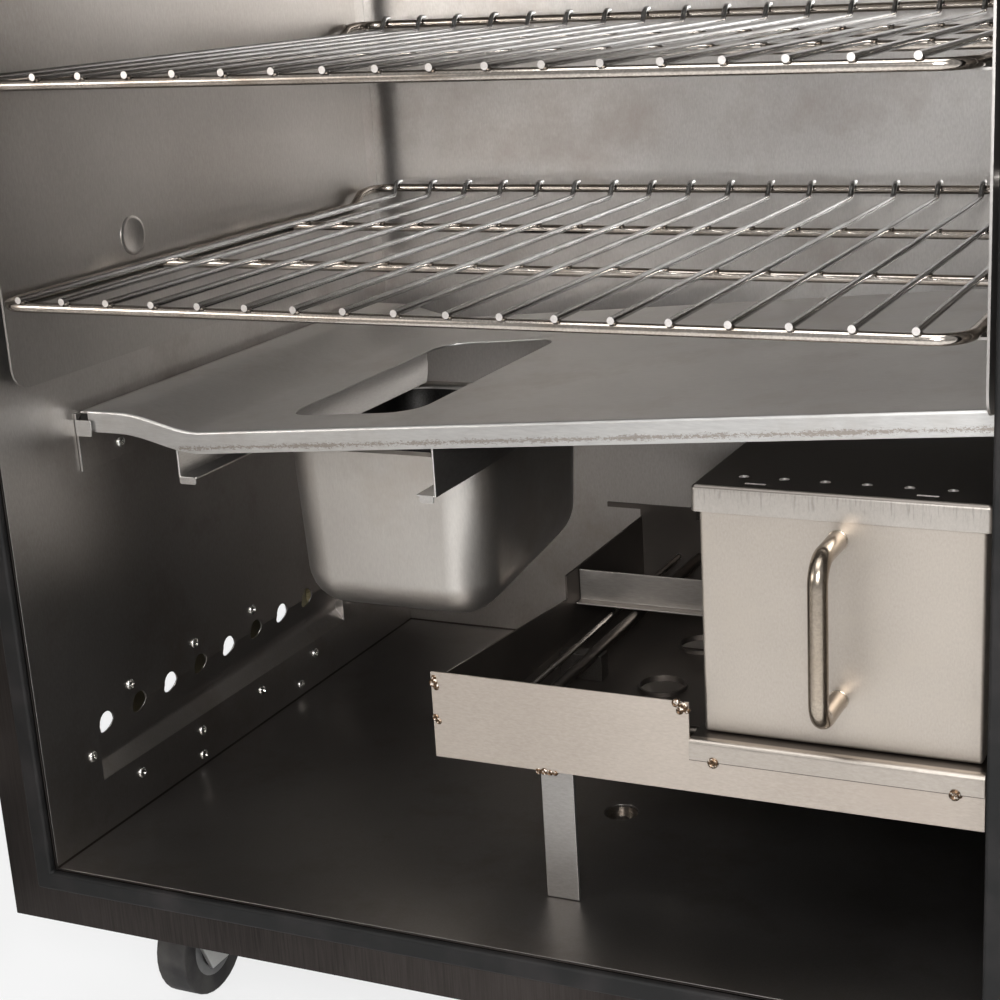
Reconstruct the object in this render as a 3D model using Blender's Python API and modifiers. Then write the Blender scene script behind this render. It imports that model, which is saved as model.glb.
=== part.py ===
"""Electric smoker: an insulated stainless cabinet with its door open.

Metres, +Z up. Pieces are placed in the cavity's own frame: x from the left wall, y from the front
plane towards the back, z from the cavity floor. One empty carries that frame to the world, where
the origin is the middle of the whole model's footprint, at floor level.
"""
import math

import bmesh
import bpy
from mathutils import Matrix, Vector

# General sheet, gaps and overruns
SHEET = 0.0015
GAP = 0.0003
OVERRUN = 0.004
WELD_SINK = 0.0006
MERGE = 0.00001

# Cabinet
CAVITY_WIDTH = 0.617
CAVITY_DEPTH = 0.504
CAVITY_HEIGHT = 0.760
WALL = 0.040
GASKET_WIDTH = 0.013
GASKET_THICKNESS = 0.006
GASKET_LIP = 0.001

# Pressed air inlet low in the left wall
INLET_START_Y = 0.060
INLET_LENGTH_SHARE = 0.654762
INLET_LENGTH = CAVITY_DEPTH * INLET_LENGTH_SHARE
INLET_BOTTOM_Z = 0.037
INLET_TOP_Z = 0.085
INLET_PRESS = 0.008
INLET_FOLD_HIGH_Z = 0.056
INLET_FOLD_LOW_Z = 0.050
INLET_HOLE_RADIUS = 0.0078
INLET_HOLE_PITCH_SHARE = 0.075397
INLET_HOLE_PITCH = CAVITY_DEPTH * INLET_HOLE_PITCH_SHARE
INLET_HOLE_COUNT = 8
INLET_HOLE_START = 0.0105
INLET_HOLE_Z = 0.0775
OUTER_HOLE_RADIUS = 0.0135
OUTER_HOLE_SHIFT_Y = 0.0515
OUTER_HOLE_SHIFT_Z = 0.024
INSULATION_CLEAR = 0.004
WALL_DIMPLE_RADIUS = 0.012
WALL_DIMPLE_DEPTH = 0.004
WALL_DIMPLE_Y_SHARE = 0.327381
WALL_DIMPLE_Y = CAVITY_DEPTH * WALL_DIMPLE_Y_SHARE
WALL_DIMPLE_Z = 0.399
DRAIN_RADIUS = 0.012
DRAIN_X_SHARE = 0.533225
DRAIN_X = CAVITY_WIDTH * DRAIN_X_SHARE
DRAIN_Y_SHARE = 0.388889
DRAIN_Y = CAVITY_DEPTH * DRAIN_Y_SHARE

# Side racks and grates
RACK_STANDOFF = 0.0065
RACK_FRONT_Y = 0.015
RACK_DEPTH_SHARE = 0.912698
RACK_DEPTH = CAVITY_DEPTH * RACK_DEPTH_SHARE
RACK_BOTTOM_Z = 0.324
RACK_RIGHT_RAISE = 0.014
RACK_TOP_MARGIN = 0.050
RACK_CORNER = 0.014
RACK_SPACER = 0.012
RACK_LEDGE_REACH = 0.014
RACK_LEVELS = 3
GRATE_LEVEL_SHARES = (0, 1)
GRATE_ROD_Z = 0.3808
RACK_LEVEL_SHARE = 0.342827
RACK_LEVEL_PITCH = (CAVITY_HEIGHT - GRATE_ROD_Z) * RACK_LEVEL_SHARE
FRAME_ROD_RADIUS = 0.0032
WIRE_RADIUS = 0.0020
WIRE_PITCH_SHARE = 0.051864
WIRE_PITCH = CAVITY_WIDTH * WIRE_PITCH_SHARE
WIRE_COUNT = 18
WIRE_FIRST_X_SHARE = 0.055105
WIRE_FIRST_X = CAVITY_WIDTH * WIRE_FIRST_X_SHARE
GRATE_SIDE_GAP = 0.012
GRATE_FRONT_Y = 0.002
GRATE_CORNER = 0.018
CROSS_ROD_1_Y_SHARE = 0.327381
CROSS_ROD_1_Y = CAVITY_DEPTH * CROSS_ROD_1_Y_SHARE
CROSS_ROD_2_Y_SHARE = 0.661706
CROSS_ROD_2_Y = CAVITY_DEPTH * CROSS_ROD_2_Y_SHARE
WIRE_KINK_Y_SHARE = 0.940476
WIRE_KINK_Y = CAVITY_DEPTH * WIRE_KINK_Y_SHARE
WIRE_RISE = 0.010
WIRE_RISE_RUN = 0.006
WIRE_OVERHANG = 0.0005
WIRE_SINK = 0.0010

# Heat baffle under the grate
BAFFLE_FRONT_Y = 0.080
BAFFLE_DEPTH_SHARE = 0.763889
BAFFLE_DEPTH = CAVITY_DEPTH * BAFFLE_DEPTH_SHARE
BAFFLE_LIP = 0.015
BAFFLE_LEFT_X = 0.009
BAFFLE_WING_X = 0.032
BAFFLE_VALLEY_X = 0.093
BAFFLE_RIGHT_GAP = 0.0155
BAFFLE_WING_Z = 0.297
BAFFLE_VALLEY_Z = 0.287
BAFFLE_RIGHT_Z = 0.3283
BAFFLE_BEND_STEPS = 5
BAFFLE_HOLE_LEFT_SHARE = 0.218801
BAFFLE_HOLE_LEFT = CAVITY_WIDTH * BAFFLE_HOLE_LEFT_SHARE
BAFFLE_HOLE_RIGHT_SHARE = 0.376013
BAFFLE_HOLE_RIGHT = CAVITY_WIDTH * BAFFLE_HOLE_RIGHT_SHARE
BAFFLE_HOLE_FRONT_SHARE = 0.234127
BAFFLE_HOLE_FRONT = CAVITY_DEPTH * BAFFLE_HOLE_FRONT_SHARE
BAFFLE_HOLE_BACK_SHARE = 0.694444
BAFFLE_HOLE_BACK = CAVITY_DEPTH * BAFFLE_HOLE_BACK_SHARE
BAFFLE_HOLE_CORNER = 0.022
BRACKET_WIDTH = 0.012
BRACKET_DROP = 0.040
BRACKET_LIP = 0.008
BRACKET_LIP_DROP = 0.0065
BRACKET_FRONT_Y = 0.077

# Pan and its rails
RAIL_LEFT_X_SHARE = 0.121880
RAIL_LEFT_X = CAVITY_WIDTH * RAIL_LEFT_X_SHARE
RAIL_SPACING_SHARE = 0.301459
RAIL_SPACING = CAVITY_WIDTH * RAIL_SPACING_SHARE
RAIL_SHELF = 0.0125
RAIL_BOTTOM_Z = 0.254
RAIL_DEPTH_SHARE = 0.545635
RAIL_DEPTH = CAVITY_DEPTH * RAIL_DEPTH_SHARE
PAN_RIM_WIDTH_SHARE = 0.291734
PAN_RIM_WIDTH = CAVITY_WIDTH * PAN_RIM_WIDTH_SHARE
PAN_RIM_DEPTH_SHARE = 0.408730
PAN_RIM_DEPTH = CAVITY_DEPTH * PAN_RIM_DEPTH_SHARE
PAN_RIM = 0.0125
PAN_SHIFT_X = 0.002
PAN_FRONT_Y_SHARE = 0.317460
PAN_FRONT_Y = CAVITY_DEPTH * PAN_FRONT_Y_SHARE
PAN_DEPTH = 0.1235
PAN_FLOOR_RISE = 0.020
PAN_DRAFT = 0.004
PAN_CORNER = 0.033
PAN_SHEET = 0.0012

# Element tray
TRAY_LEFT_X_SHARE = 0.421394
TRAY_LEFT_X = CAVITY_WIDTH * TRAY_LEFT_X_SHARE
TRAY_RIGHT_X_SHARE = 0.978120
TRAY_RIGHT_X = CAVITY_WIDTH * TRAY_RIGHT_X_SHARE
TRAY_FRONT_Y = 0.064
TRAY_BACK_Y_SHARE = 0.843254
TRAY_BACK_Y = CAVITY_DEPTH * TRAY_BACK_Y_SHARE
TRAY_BOTTOM_Z = 0.090
TRAY_TOP_Z = 0.147
TRAY_STEP_X_SHARE = 0.696921
TRAY_STEP_X = CAVITY_WIDTH * TRAY_STEP_X_SHARE
LEDGE_TOP_Z = 0.1245
LEDGE_DROP = 0.0135
LEDGE_DEPTH = 0.026
TRAY_SLOPE_END_Y_SHARE = 0.541667
TRAY_SLOPE_END_Y = CAVITY_DEPTH * TRAY_SLOPE_END_Y_SHARE
TRAY_SLOPE_END_Z = 0.123
TRAY_REAR_TOP_Z = 0.141
REAR_PLATE_TOP_Z = 0.151
REAR_PLATE_WIDTH = 0.047
REAR_TAB = 0.028
REAR_TAB_HEIGHT = 0.004
CROSS_BAR_Y_SHARE = 0.585317
CROSS_BAR_Y = CAVITY_DEPTH * CROSS_BAR_Y_SHARE
CROSS_BAR_BOTTOM_Z = 0.1145
CROSS_BAR_TOP_Z = 0.139
CROSS_BAR_FOLD = 0.008
REST_SETBACK = 0.030
REST_DEPTH = 0.022
REST_INSET = 0.008
LEG_WIDTH = 0.022
LEG_THICKNESS = 0.003
LEG_TAB_WIDTH = 0.034
LEG_TAB_DEPTH = 0.018
LEG_INSET_Y = 0.006
LEG_LEFT_X_SHARE = 0.551054
LEG_LEFT_X = CAVITY_WIDTH * LEG_LEFT_X_SHARE
LEG_REAR_X_SHARE = 0.700162
LEG_REAR_X = CAVITY_WIDTH * LEG_REAR_X_SHARE

# Heating element, its support and the probe
ELEMENT_RADIUS = 0.004
ELEMENT_Z = 0.110
ELEMENT_LEFT_X_SHARE = 0.499190
ELEMENT_LEFT_X = CAVITY_WIDTH * ELEMENT_LEFT_X_SHARE
ELEMENT_RIGHT_X_SHARE = 0.810373
ELEMENT_RIGHT_X = CAVITY_WIDTH * ELEMENT_RIGHT_X_SHARE
ELEMENT_FRONT_Y = 0.104
ELEMENT_BEND = 0.030
ELEMENT_BEND_STEPS = 5
PROBE_RADIUS = 0.0022
PROBE_X_SHARE = 0.471637
PROBE_X = CAVITY_WIDTH * PROBE_X_SHARE
PROBE_FRONT_Y = 0.110
SUPPORT_Y_SHARE = 0.418651
SUPPORT_Y = CAVITY_DEPTH * SUPPORT_Y_SHARE
SUPPORT_LENGTH = 0.012
SUPPORT_MARGIN = 0.007
FLANGE_THICKNESS = 0.012
FLANGE_MARGIN = 0.016
FLANGE_HEIGHT = 0.036
COLLAR_RADIUS = 0.017
COLLAR_HEIGHT = 0.003
COLLAR_X_SHARE = 0.580227
COLLAR_X = CAVITY_WIDTH * COLLAR_X_SHARE
COLLAR_FIRST_Y_SHARE = 0.412698
COLLAR_FIRST_Y = CAVITY_DEPTH * COLLAR_FIRST_Y_SHARE
COLLAR_PITCH_SHARE = 0.160714
COLLAR_PITCH = CAVITY_DEPTH * COLLAR_PITCH_SHARE
COLLAR_COUNT = 3

# Wood box, lid and handle
BOX_LEFT_X_SHARE = 0.705834
BOX_LEFT_X = CAVITY_WIDTH * BOX_LEFT_X_SHARE
BOX_RIGHT_X_SHARE = 0.971637
BOX_RIGHT_X = CAVITY_WIDTH * BOX_RIGHT_X_SHARE
BOX_SETBACK = 0.012
BOX_DEPTH_SHARE = 0.396825
BOX_DEPTH = CAVITY_DEPTH * BOX_DEPTH_SHARE
BOX_TOP_Z = 0.2765
LID_OVERLAP = 0.0025
LID_LIP = 0.0135
LID_HOLE_RADIUS = 0.003
LID_HOLE_COUNT = 6
LID_HOLE_FIRST_X_SHARE = 0.740681
LID_HOLE_FIRST_X = CAVITY_WIDTH * LID_HOLE_FIRST_X_SHARE
LID_HOLE_PITCH_SHARE = 0.038898
LID_HOLE_PITCH = CAVITY_WIDTH * LID_HOLE_PITCH_SHARE
LID_HOLE_SETBACK = 0.018
HANDLE_RADIUS = 0.0053
HANDLE_X_SHARE = 0.837925
HANDLE_X = CAVITY_WIDTH * HANDLE_X_SHARE
HANDLE_REACH = 0.041
HANDLE_LOW_Z = 0.1545
HANDLE_SPACING = 0.0955
HANDLE_BEND = 0.014
HANDLE_BEND_STEPS = 4

# Control box on top
CONTROL_WIDTH = 0.260
CONTROL_DEPTH = 0.170
CONTROL_HEIGHT = 0.058
CONTROL_FRONT_Y = 0.020
PANEL_THICKNESS = 0.002
PANEL_HOLE_CLEAR = 0.0004
KNOB_RADIUS = 0.019
KNOB_DEPTH = 0.016
KNOB_OFFSET_X = -0.060
KNOB_RIDGE = 0.005
SHAFT_RADIUS = 0.003
THERMOSTAT_WIDTH = 0.044
THERMOSTAT_DEPTH = 0.036
SWITCH_OFFSET_X = 0.035
SWITCH_WIDTH = 0.018
SWITCH_HEIGHT = 0.026
SWITCH_DEPTH = 0.010
SWITCH_PROUD = 0.004
SWITCH_SWING = 0.002
BEZEL_RIM = 0.003
LAMP_OFFSET_X = 0.085
LAMP_RADIUS = 0.006
LAMP_PROUD = 0.004
LAMP_DEPTH = 0.018
INLET_SOCKET_WIDTH = 0.030
INLET_SOCKET_HEIGHT = 0.024
INLET_SOCKET_DEPTH = 0.022
INLET_SOCKET_WALL = 0.003
INLET_SOCKET_FLANGE = 0.004
INLET_SOCKET_RECESS = 0.016

# Smoke vent on top
VENT_RADIUS = 0.022
VENT_WALL = 0.002
VENT_HEIGHT = 0.045
VENT_X_SHARE = 0.810373
VENT_X = CAVITY_WIDTH * VENT_X_SHARE
VENT_Y_SHARE = 0.833333
VENT_Y = CAVITY_DEPTH * VENT_Y_SHARE
VENT_BOSS_RADIUS = 0.006
VENT_PIN_RADIUS = 0.0025
VENT_CAP_THICKNESS = 0.002
VENT_CAP_OVERHANG = 0.002

# Door, hinges and latch
DOOR_THICKNESS = 0.042
DOOR_SKIN_DEPTH = 0.034
DOOR_INNER_MARGIN = 0.020
DOOR_INNER_RAISE = 0.004
HINGE_PIN_RADIUS = 0.003
HINGE_KNUCKLE_RADIUS = 0.006
HINGE_OFFSET = 0.0075
HINGE_FORWARD = 0.012
HINGE_LEAF = 0.003
HINGE_LEAF_WIDTH = 0.045
HINGE_HALF_HEIGHT = 0.032
HINGE_INSET = 0.130
LATCH_CASE_WIDTH = 0.044
LATCH_CASE_HEIGHT = 0.080
LATCH_CASE_DEPTH = 0.014
LATCH_INSET = 0.034
LATCH_ARM_THICKNESS = 0.006
LATCH_ARM_WIDTH = 0.014
LATCH_ARM_REACH = 0.052
LATCH_HANDLE_LENGTH = 0.110
LATCH_HUB_RADIUS = 0.012
LATCH_GRIP_RADIUS = 0.007
LATCH_GRIP_OFFSET = 0.009
KEEPER_HEIGHT = 0.036
KEEPER_THICKNESS = 0.006
KEEPER_RELIEF = 0.0024
KEEPER_BASE = 0.040
KEEPER_BAR = 0.010
KEEPER_LIP_REACH = 0.024
KEEPER_LIP_HEIGHT = 0.026
KEEPER_MARGIN = 0.004

# Casters
CASTER_HEIGHT = 0.098
CASTER_INSET = 0.075
WHEEL_RADIUS = 0.0375
WHEEL_WIDTH = 0.024
CASTER_TRAIL = 0.024
CASTER_PLATE = 0.070
CASTER_PLATE_THICKNESS = 0.003
FORK_THICKNESS = 0.003
FORK_WIDTH = 0.026
FORK_CLEAR = 0.003
SWIVEL_RADIUS = 0.024
SWIVEL_HEIGHT = 0.010
AXLE_RADIUS = 0.004

# Places worked out from the sizes above
OUTER_LEFT = -WALL
OUTER_RIGHT = CAVITY_WIDTH + WALL
OUTER_BACK = CAVITY_DEPTH + WALL
OUTER_BOTTOM = -WALL
OUTER_TOP = CAVITY_HEIGHT + WALL
CAVITY_LIFT = CASTER_HEIGHT + WALL
DOOR_INNER_Y = -GASKET_THICKNESS - GASKET_LIP
DOOR_OUTER_Y = DOOR_INNER_Y - DOOR_THICKNESS
HINGE_X = OUTER_LEFT - HINGE_OFFSET
HINGE_Y = -HINGE_FORWARD
LATCH_X = OUTER_RIGHT - LATCH_INSET
LATCH_Z = (OUTER_BOTTOM + OUTER_TOP) / 2
ARM_BACK_Y = DOOR_OUTER_Y - GAP - LATCH_CASE_DEPTH - GAP
ARM_FRONT_Y = ARM_BACK_Y - LATCH_ARM_THICKNESS
GRIP_FRONT_Y = ARM_FRONT_Y - LATCH_GRIP_OFFSET - LATCH_GRIP_RADIUS
KEEPER_LIP_Y = ARM_FRONT_Y - KEEPER_MARGIN
KEEPER_END_X = OUTER_RIGHT + GAP + KEEPER_THICKNESS + KEEPER_LIP_REACH
MODEL_MIN_X = HINGE_X + GRIP_FRONT_Y - HINGE_Y
MODEL_MAX_X = KEEPER_END_X
MODEL_MIN_Y = HINGE_Y - (OUTER_RIGHT - HINGE_X)
MODEL_MAX_Y = OUTER_BACK

STEEL_COLOUR = (0.46, 0.44, 0.42, 1)
DARK_STEEL_COLOUR = (0.22, 0.20, 0.19, 1)
BRIGHT_COLOUR = (0.72, 0.70, 0.67, 1)
BLACK_COLOUR = (0.02, 0.02, 0.022, 1)

for old in list(bpy.data.objects):
    bpy.data.objects.remove(old)

parts = bpy.data.collections.new("electric_smoker")
cutters = bpy.data.collections.new("smoker_cutters")
bpy.context.scene.collection.children.link(parts)
bpy.context.scene.collection.children.link(cutters)


def material(name, colour, roughness, metallic):
    """A Principled material with one colour."""
    made = bpy.data.materials.new(name)
    made.use_nodes = True
    shader = made.node_tree.nodes["Principled BSDF"]
    shader.inputs["Base Color"].default_value = colour
    shader.inputs["Roughness"].default_value = roughness
    shader.inputs["Metallic"].default_value = metallic
    return made


def finish_for(name):
    """The colour, roughness and metallic value of a piece, by the words in its name."""
    if any(word in name for word in ("gasket", "wheel", "knob", "switch", "socket", "thermostat_body")):
        return BLACK_COLOUR, 0.6, 0.0
    if any(word in name for word in ("grate", "handle", "hinge", "latch", "pin")):
        return BRIGHT_COLOUR, 0.25, 1.0
    if "insulation" in name:
        return (0.75, 0.68, 0.45, 1), 0.95, 0.0
    if any(word in name for word in ("liner", "rack", "element", "probe")):
        return DARK_STEEL_COLOUR, 0.45, 1.0
    if "lamp" in name:
        return (0.75, 0.10, 0.05, 1), 0.2, 0.0
    return STEEL_COLOUR, 0.35, 1.0


def place(obj, name, parent):
    """Name a piece, give it its material and hang it from a carrier."""
    obj.name = name
    obj.data.name = name
    for owner in list(obj.users_collection):
        owner.objects.unlink(obj)
    parts.objects.link(obj)
    obj.parent = parent
    for modifier in obj.modifiers:
        if modifier.type == "BOOLEAN":
            modifier.object.parent = parent
    obj.data.materials.clear()
    obj.data.materials.append(material(name, *finish_for(name)))
    return obj


def tool(obj):
    """Put an object among the cutters, where nothing renders it."""
    for owner in list(obj.users_collection):
        owner.objects.unlink(obj)
    cutters.objects.link(obj)
    obj.hide_render = True
    obj.display_type = "WIRE"
    return obj


def box(low, high):
    """A cube stretched between two corners, with its origin at its middle."""
    low, high = Vector(low), Vector(high)
    bpy.ops.mesh.primitive_cube_add(size=1)
    made = bpy.context.object
    made.data.transform(Matrix.Diagonal((*(high - low), 1)))
    made.location = (low + high) / 2
    return made


def cylinder(centre, axis, radius, length, sides=24):
    """A cylinder about a middle point, along an axis."""
    bpy.ops.mesh.primitive_cylinder_add(vertices=sides, radius=radius, depth=length)
    made = bpy.context.object
    made.data.transform(Vector((0, 0, 1)).rotation_difference(Vector(axis)).to_matrix().to_4x4())
    made.location = centre
    made.data.shade_smooth()
    made.data.set_sharp_from_angle(angle=math.radians(40))
    return made


def as_mesh(curve_object):
    """The curve's evaluated surface as a welded mesh object in the same place."""
    bpy.context.view_layer.update()
    evaluated = curve_object.evaluated_get(bpy.context.evaluated_depsgraph_get())
    mesh = bpy.data.meshes.new_from_object(evaluated)
    work = bmesh.new()
    work.from_mesh(mesh)
    bmesh.ops.remove_doubles(work, verts=work.verts, dist=MERGE)
    bmesh.ops.recalc_face_normals(work, faces=work.faces)
    work.to_mesh(mesh)
    work.free()
    made = bpy.data.objects.new(curve_object.name, mesh)
    made.matrix_world = curve_object.matrix_world
    bpy.context.scene.collection.objects.link(made)
    bpy.data.objects.remove(curve_object)
    return made


def new_curve(dimensions, splines, closed):
    """A curve object with straight runs through each list of points."""
    curve = bpy.data.curves.new("curve", "CURVE")
    curve.dimensions = dimensions
    for points in splines:
        spline = curve.splines.new("POLY")
        spline.points.add(len(points) - 1)
        for point, place_of in zip(spline.points, points):
            point.co = (*place_of, *([0] * (3 - len(place_of))), 1)
        spline.use_cyclic_u = closed
    made = bpy.data.objects.new("curve", curve)
    bpy.context.scene.collection.objects.link(made)
    return made


def rods(runs, radius, closed=False, resolution=1):
    """Round bars along lists of points, as one mesh object."""
    made = new_curve("3D", runs, closed)
    made.data.bevel_depth = radius
    made.data.bevel_resolution = resolution
    made.data.use_fill_caps = True
    return as_mesh(made)


def plate(outlines, thickness, plane, start):
    """A flat outline given thickness: plane XZ from y=start, or YZ from x=start, or XY from z=start."""
    made = new_curve("2D", outlines, True)
    made.data.fill_mode = "BOTH"
    made.data.extrude = thickness / 2
    if plane == "XZ":
        made.matrix_world = Matrix.Translation((0, start + thickness / 2, 0)) @ Matrix.Rotation(
            math.pi / 2, 4, "X"
        )
    elif plane == "YZ":
        turn = Matrix(((0, 0, 1, 0), (1, 0, 0, 0), (0, 1, 0, 0), (0, 0, 0, 1)))
        made.matrix_world = Matrix.Translation((start + thickness / 2, 0, 0)) @ turn
    else:
        made.matrix_world = Matrix.Translation((0, 0, start + thickness / 2))
    made = as_mesh(made)
    made.data.transform(made.matrix_world)
    made.matrix_world = Matrix.Identity(4)
    return made


def round_rectangle(low, high, radius, steps=4):
    """The points of a rectangle with rounded corners."""
    points = []
    corners = (
        (high[0] - radius, high[1] - radius, 0),
        (low[0] + radius, high[1] - radius, 90),
        (low[0] + radius, low[1] + radius, 180),
        (high[0] - radius, low[1] + radius, 270),
    )
    for x, y, start in corners:
        for step in range(steps + 1):
            angle = math.radians(start + 90 * step / steps)
            points.append((x + radius * math.cos(angle), y + radius * math.sin(angle)))
    return points


def boolean(obj, other, operation):
    """A Boolean modifier with another object, which goes among the cutters."""
    tool(other)
    modifier = obj.modifiers.new(operation.lower(), "BOOLEAN")
    modifier.operation = operation
    modifier.object = other
    modifier.solver = "EXACT"
    return obj


def cut(obj, *others):
    """Take other objects out of a piece."""
    for other in others:
        boolean(obj, other, "DIFFERENCE")
    return obj


def fuse(obj, *others):
    """Weld other objects onto a piece."""
    for other in others:
        boolean(obj, other, "UNION")
    return obj


def round_edges(obj, width, segments=2, angle=60):
    """Round a piece's sharp edges."""
    modifier = obj.modifiers.new("round", "BEVEL")
    modifier.width = width
    modifier.segments = segments
    modifier.limit_method = "ANGLE"
    modifier.angle_limit = math.radians(angle)
    return obj


def empty(name, location, parent=None):
    """A carrier for moving pieces."""
    made = bpy.data.objects.new(name, None)
    parts.objects.link(made)
    made.location = location
    made.parent = parent
    return made


def relative(obj, carrier_place):
    """Move a piece's location into its carrier's own frame."""
    obj.location = Vector(obj.location) - Vector(carrier_place)
    return obj


def hang(obj, name, carrier):
    """Place a piece modelled in the cavity's frame under a carrier that stands elsewhere in it."""
    relative(obj, carrier.location)
    for modifier in obj.modifiers:
        if modifier.type == "BOOLEAN":
            relative(modifier.object, carrier.location)
    return place(obj, name, carrier)


root = empty(
    "smoker_frame",
    (-(MODEL_MIN_X + MODEL_MAX_X) / 2, -(MODEL_MIN_Y + MODEL_MAX_Y) / 2, CAVITY_LIFT),
)


def inlet_profile(offset):
    """The pressed inlet's outline in XZ, grown by an offset, reaching past the wall."""
    return [
        (OVERRUN, INLET_BOTTOM_Z - offset - OVERRUN),
        (-INLET_PRESS - offset, INLET_FOLD_LOW_Z - offset / 2),
        (-INLET_PRESS - offset, INLET_FOLD_HIGH_Z + offset / 2),
        (OVERRUN, INLET_TOP_Z + offset + OVERRUN),
    ]


def inlet_hole_places():
    """The middle of each air hole, on the inlet's upper slope."""
    first = INLET_START_Y + INLET_HOLE_START
    return [(0, first + INLET_HOLE_PITCH * i, INLET_HOLE_Z) for i in range(INLET_HOLE_COUNT)]


def make_shell():
    """The folded outer casing, open at the front, with the vent hole and the air holes."""
    shell = box((OUTER_LEFT, GAP + SHEET, OUTER_BOTTOM), (OUTER_RIGHT, OUTER_BACK, OUTER_TOP))
    cut(
        shell,
        box(
            (OUTER_LEFT + SHEET, -OVERRUN, OUTER_BOTTOM + SHEET),
            (OUTER_RIGHT - SHEET, OUTER_BACK - SHEET, OUTER_TOP - SHEET),
        ),
        cylinder((VENT_X, VENT_Y, OUTER_TOP), (0, 0, 1), VENT_RADIUS + GAP, WALL / 2),
        cylinder((DRAIN_X, DRAIN_Y, OUTER_BOTTOM), (0, 0, 1), DRAIN_RADIUS, WALL / 4),
    )
    for x, y, z in inlet_hole_places()[::2]:
        centre = (OUTER_LEFT, y + OUTER_HOLE_SHIFT_Y, z - OUTER_HOLE_SHIFT_Z)
        cut(shell, cylinder(centre, (1, 0, 0), OUTER_HOLE_RADIUS, WALL / 4, 16))
    place(shell, "outer_shell", root)


def make_liner():
    """The inner box of thin sheet, with the pressed inlet, its holes, the dimple and the drain."""
    liner = box(
        (-SHEET, GAP + SHEET, -SHEET),
        (CAVITY_WIDTH + SHEET, CAVITY_DEPTH + SHEET, CAVITY_HEIGHT + SHEET),
    )
    fuse(liner, plate([inlet_profile(SHEET)], INLET_LENGTH + 2 * SHEET, "XZ", INLET_START_Y - SHEET))
    dimple = (-WALL_DIMPLE_DEPTH / 2, WALL_DIMPLE_Y, WALL_DIMPLE_Z)
    fuse(
        liner,
        cylinder(dimple, (1, 0, 0), WALL_DIMPLE_RADIUS + SHEET, WALL_DIMPLE_DEPTH + 2 * SHEET, 20),
    )
    cut(
        liner,
        box((0, -OVERRUN, 0), (CAVITY_WIDTH, CAVITY_DEPTH, CAVITY_HEIGHT)),
        plate([inlet_profile(0)], INLET_LENGTH, "XZ", INLET_START_Y),
        cylinder(dimple, (1, 0, 0), WALL_DIMPLE_RADIUS, WALL_DIMPLE_DEPTH + SHEET / 2, 20),
        cylinder((DRAIN_X, DRAIN_Y, 0), (0, 0, 1), DRAIN_RADIUS, WALL / 4),
        cylinder((VENT_X, VENT_Y, CAVITY_HEIGHT), (0, 0, 1), VENT_RADIUS - VENT_WALL, WALL / 4),
    )
    for centre in inlet_hole_places():
        cut(liner, cylinder(centre, (1, 0, 0), INLET_HOLE_RADIUS, 4 * INLET_PRESS, 16))
    place(liner, "inner_liner", root)


def make_insulation():
    """Mineral wool between the shell and the liner, left out behind the pressed inlet."""
    skin = SHEET + GAP
    wool = box(
        (OUTER_LEFT + skin, GAP + SHEET, OUTER_BOTTOM + skin),
        (OUTER_RIGHT - skin, OUTER_BACK - skin, OUTER_TOP - skin),
    )
    cut(
        wool,
        box((-skin, -OVERRUN, -skin), (CAVITY_WIDTH + skin, CAVITY_DEPTH + skin, CAVITY_HEIGHT + skin)),
        box(
            (OUTER_LEFT - OVERRUN, INLET_START_Y - INSULATION_CLEAR, INLET_BOTTOM_Z - 2 * INSULATION_CLEAR),
            (OVERRUN, INLET_START_Y + INLET_LENGTH + INSULATION_CLEAR, INLET_TOP_Z + 2 * INSULATION_CLEAR),
        ),
        cylinder(
            (0, WALL_DIMPLE_Y, WALL_DIMPLE_Z),
            (1, 0, 0),
            WALL_DIMPLE_RADIUS + INSULATION_CLEAR,
            2 * (WALL_DIMPLE_DEPTH + INSULATION_CLEAR),
        ),
        cylinder((VENT_X, VENT_Y, OUTER_TOP), (0, 0, 1), VENT_RADIUS + GAP, 3 * WALL),
        cylinder((DRAIN_X, DRAIN_Y, 0), (0, 0, 1), DRAIN_RADIUS + INSULATION_CLEAR, 3 * WALL),
    )
    place(wool, "insulation", root)


def ring(low, high, hole_low, hole_high, name):
    """A flat rectangular ring between two depths, with a rectangular hole."""
    made = box(low, high)
    cut(
        made,
        box(
            (hole_low[0], low[1] - OVERRUN, hole_low[1]),
            (hole_high[0], high[1] + OVERRUN, hole_high[1]),
        ),
    )
    return place(made, name, root)


def make_front():
    """The sheet ring that closes the walls at the front, and the black gasket round the opening."""
    ring(
        (OUTER_LEFT, 0, OUTER_BOTTOM),
        (OUTER_RIGHT, SHEET, OUTER_TOP),
        (0, 0),
        (CAVITY_WIDTH, CAVITY_HEIGHT),
        "front_frame",
    )
    ring(
        (-GASKET_WIDTH, -GASKET_THICKNESS - GAP, -GASKET_WIDTH),
        (CAVITY_WIDTH + GASKET_WIDTH, -GAP, CAVITY_HEIGHT + GASKET_WIDTH),
        (0, 0),
        (CAVITY_WIDTH, CAVITY_HEIGHT),
        "door_gasket",
    )


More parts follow.
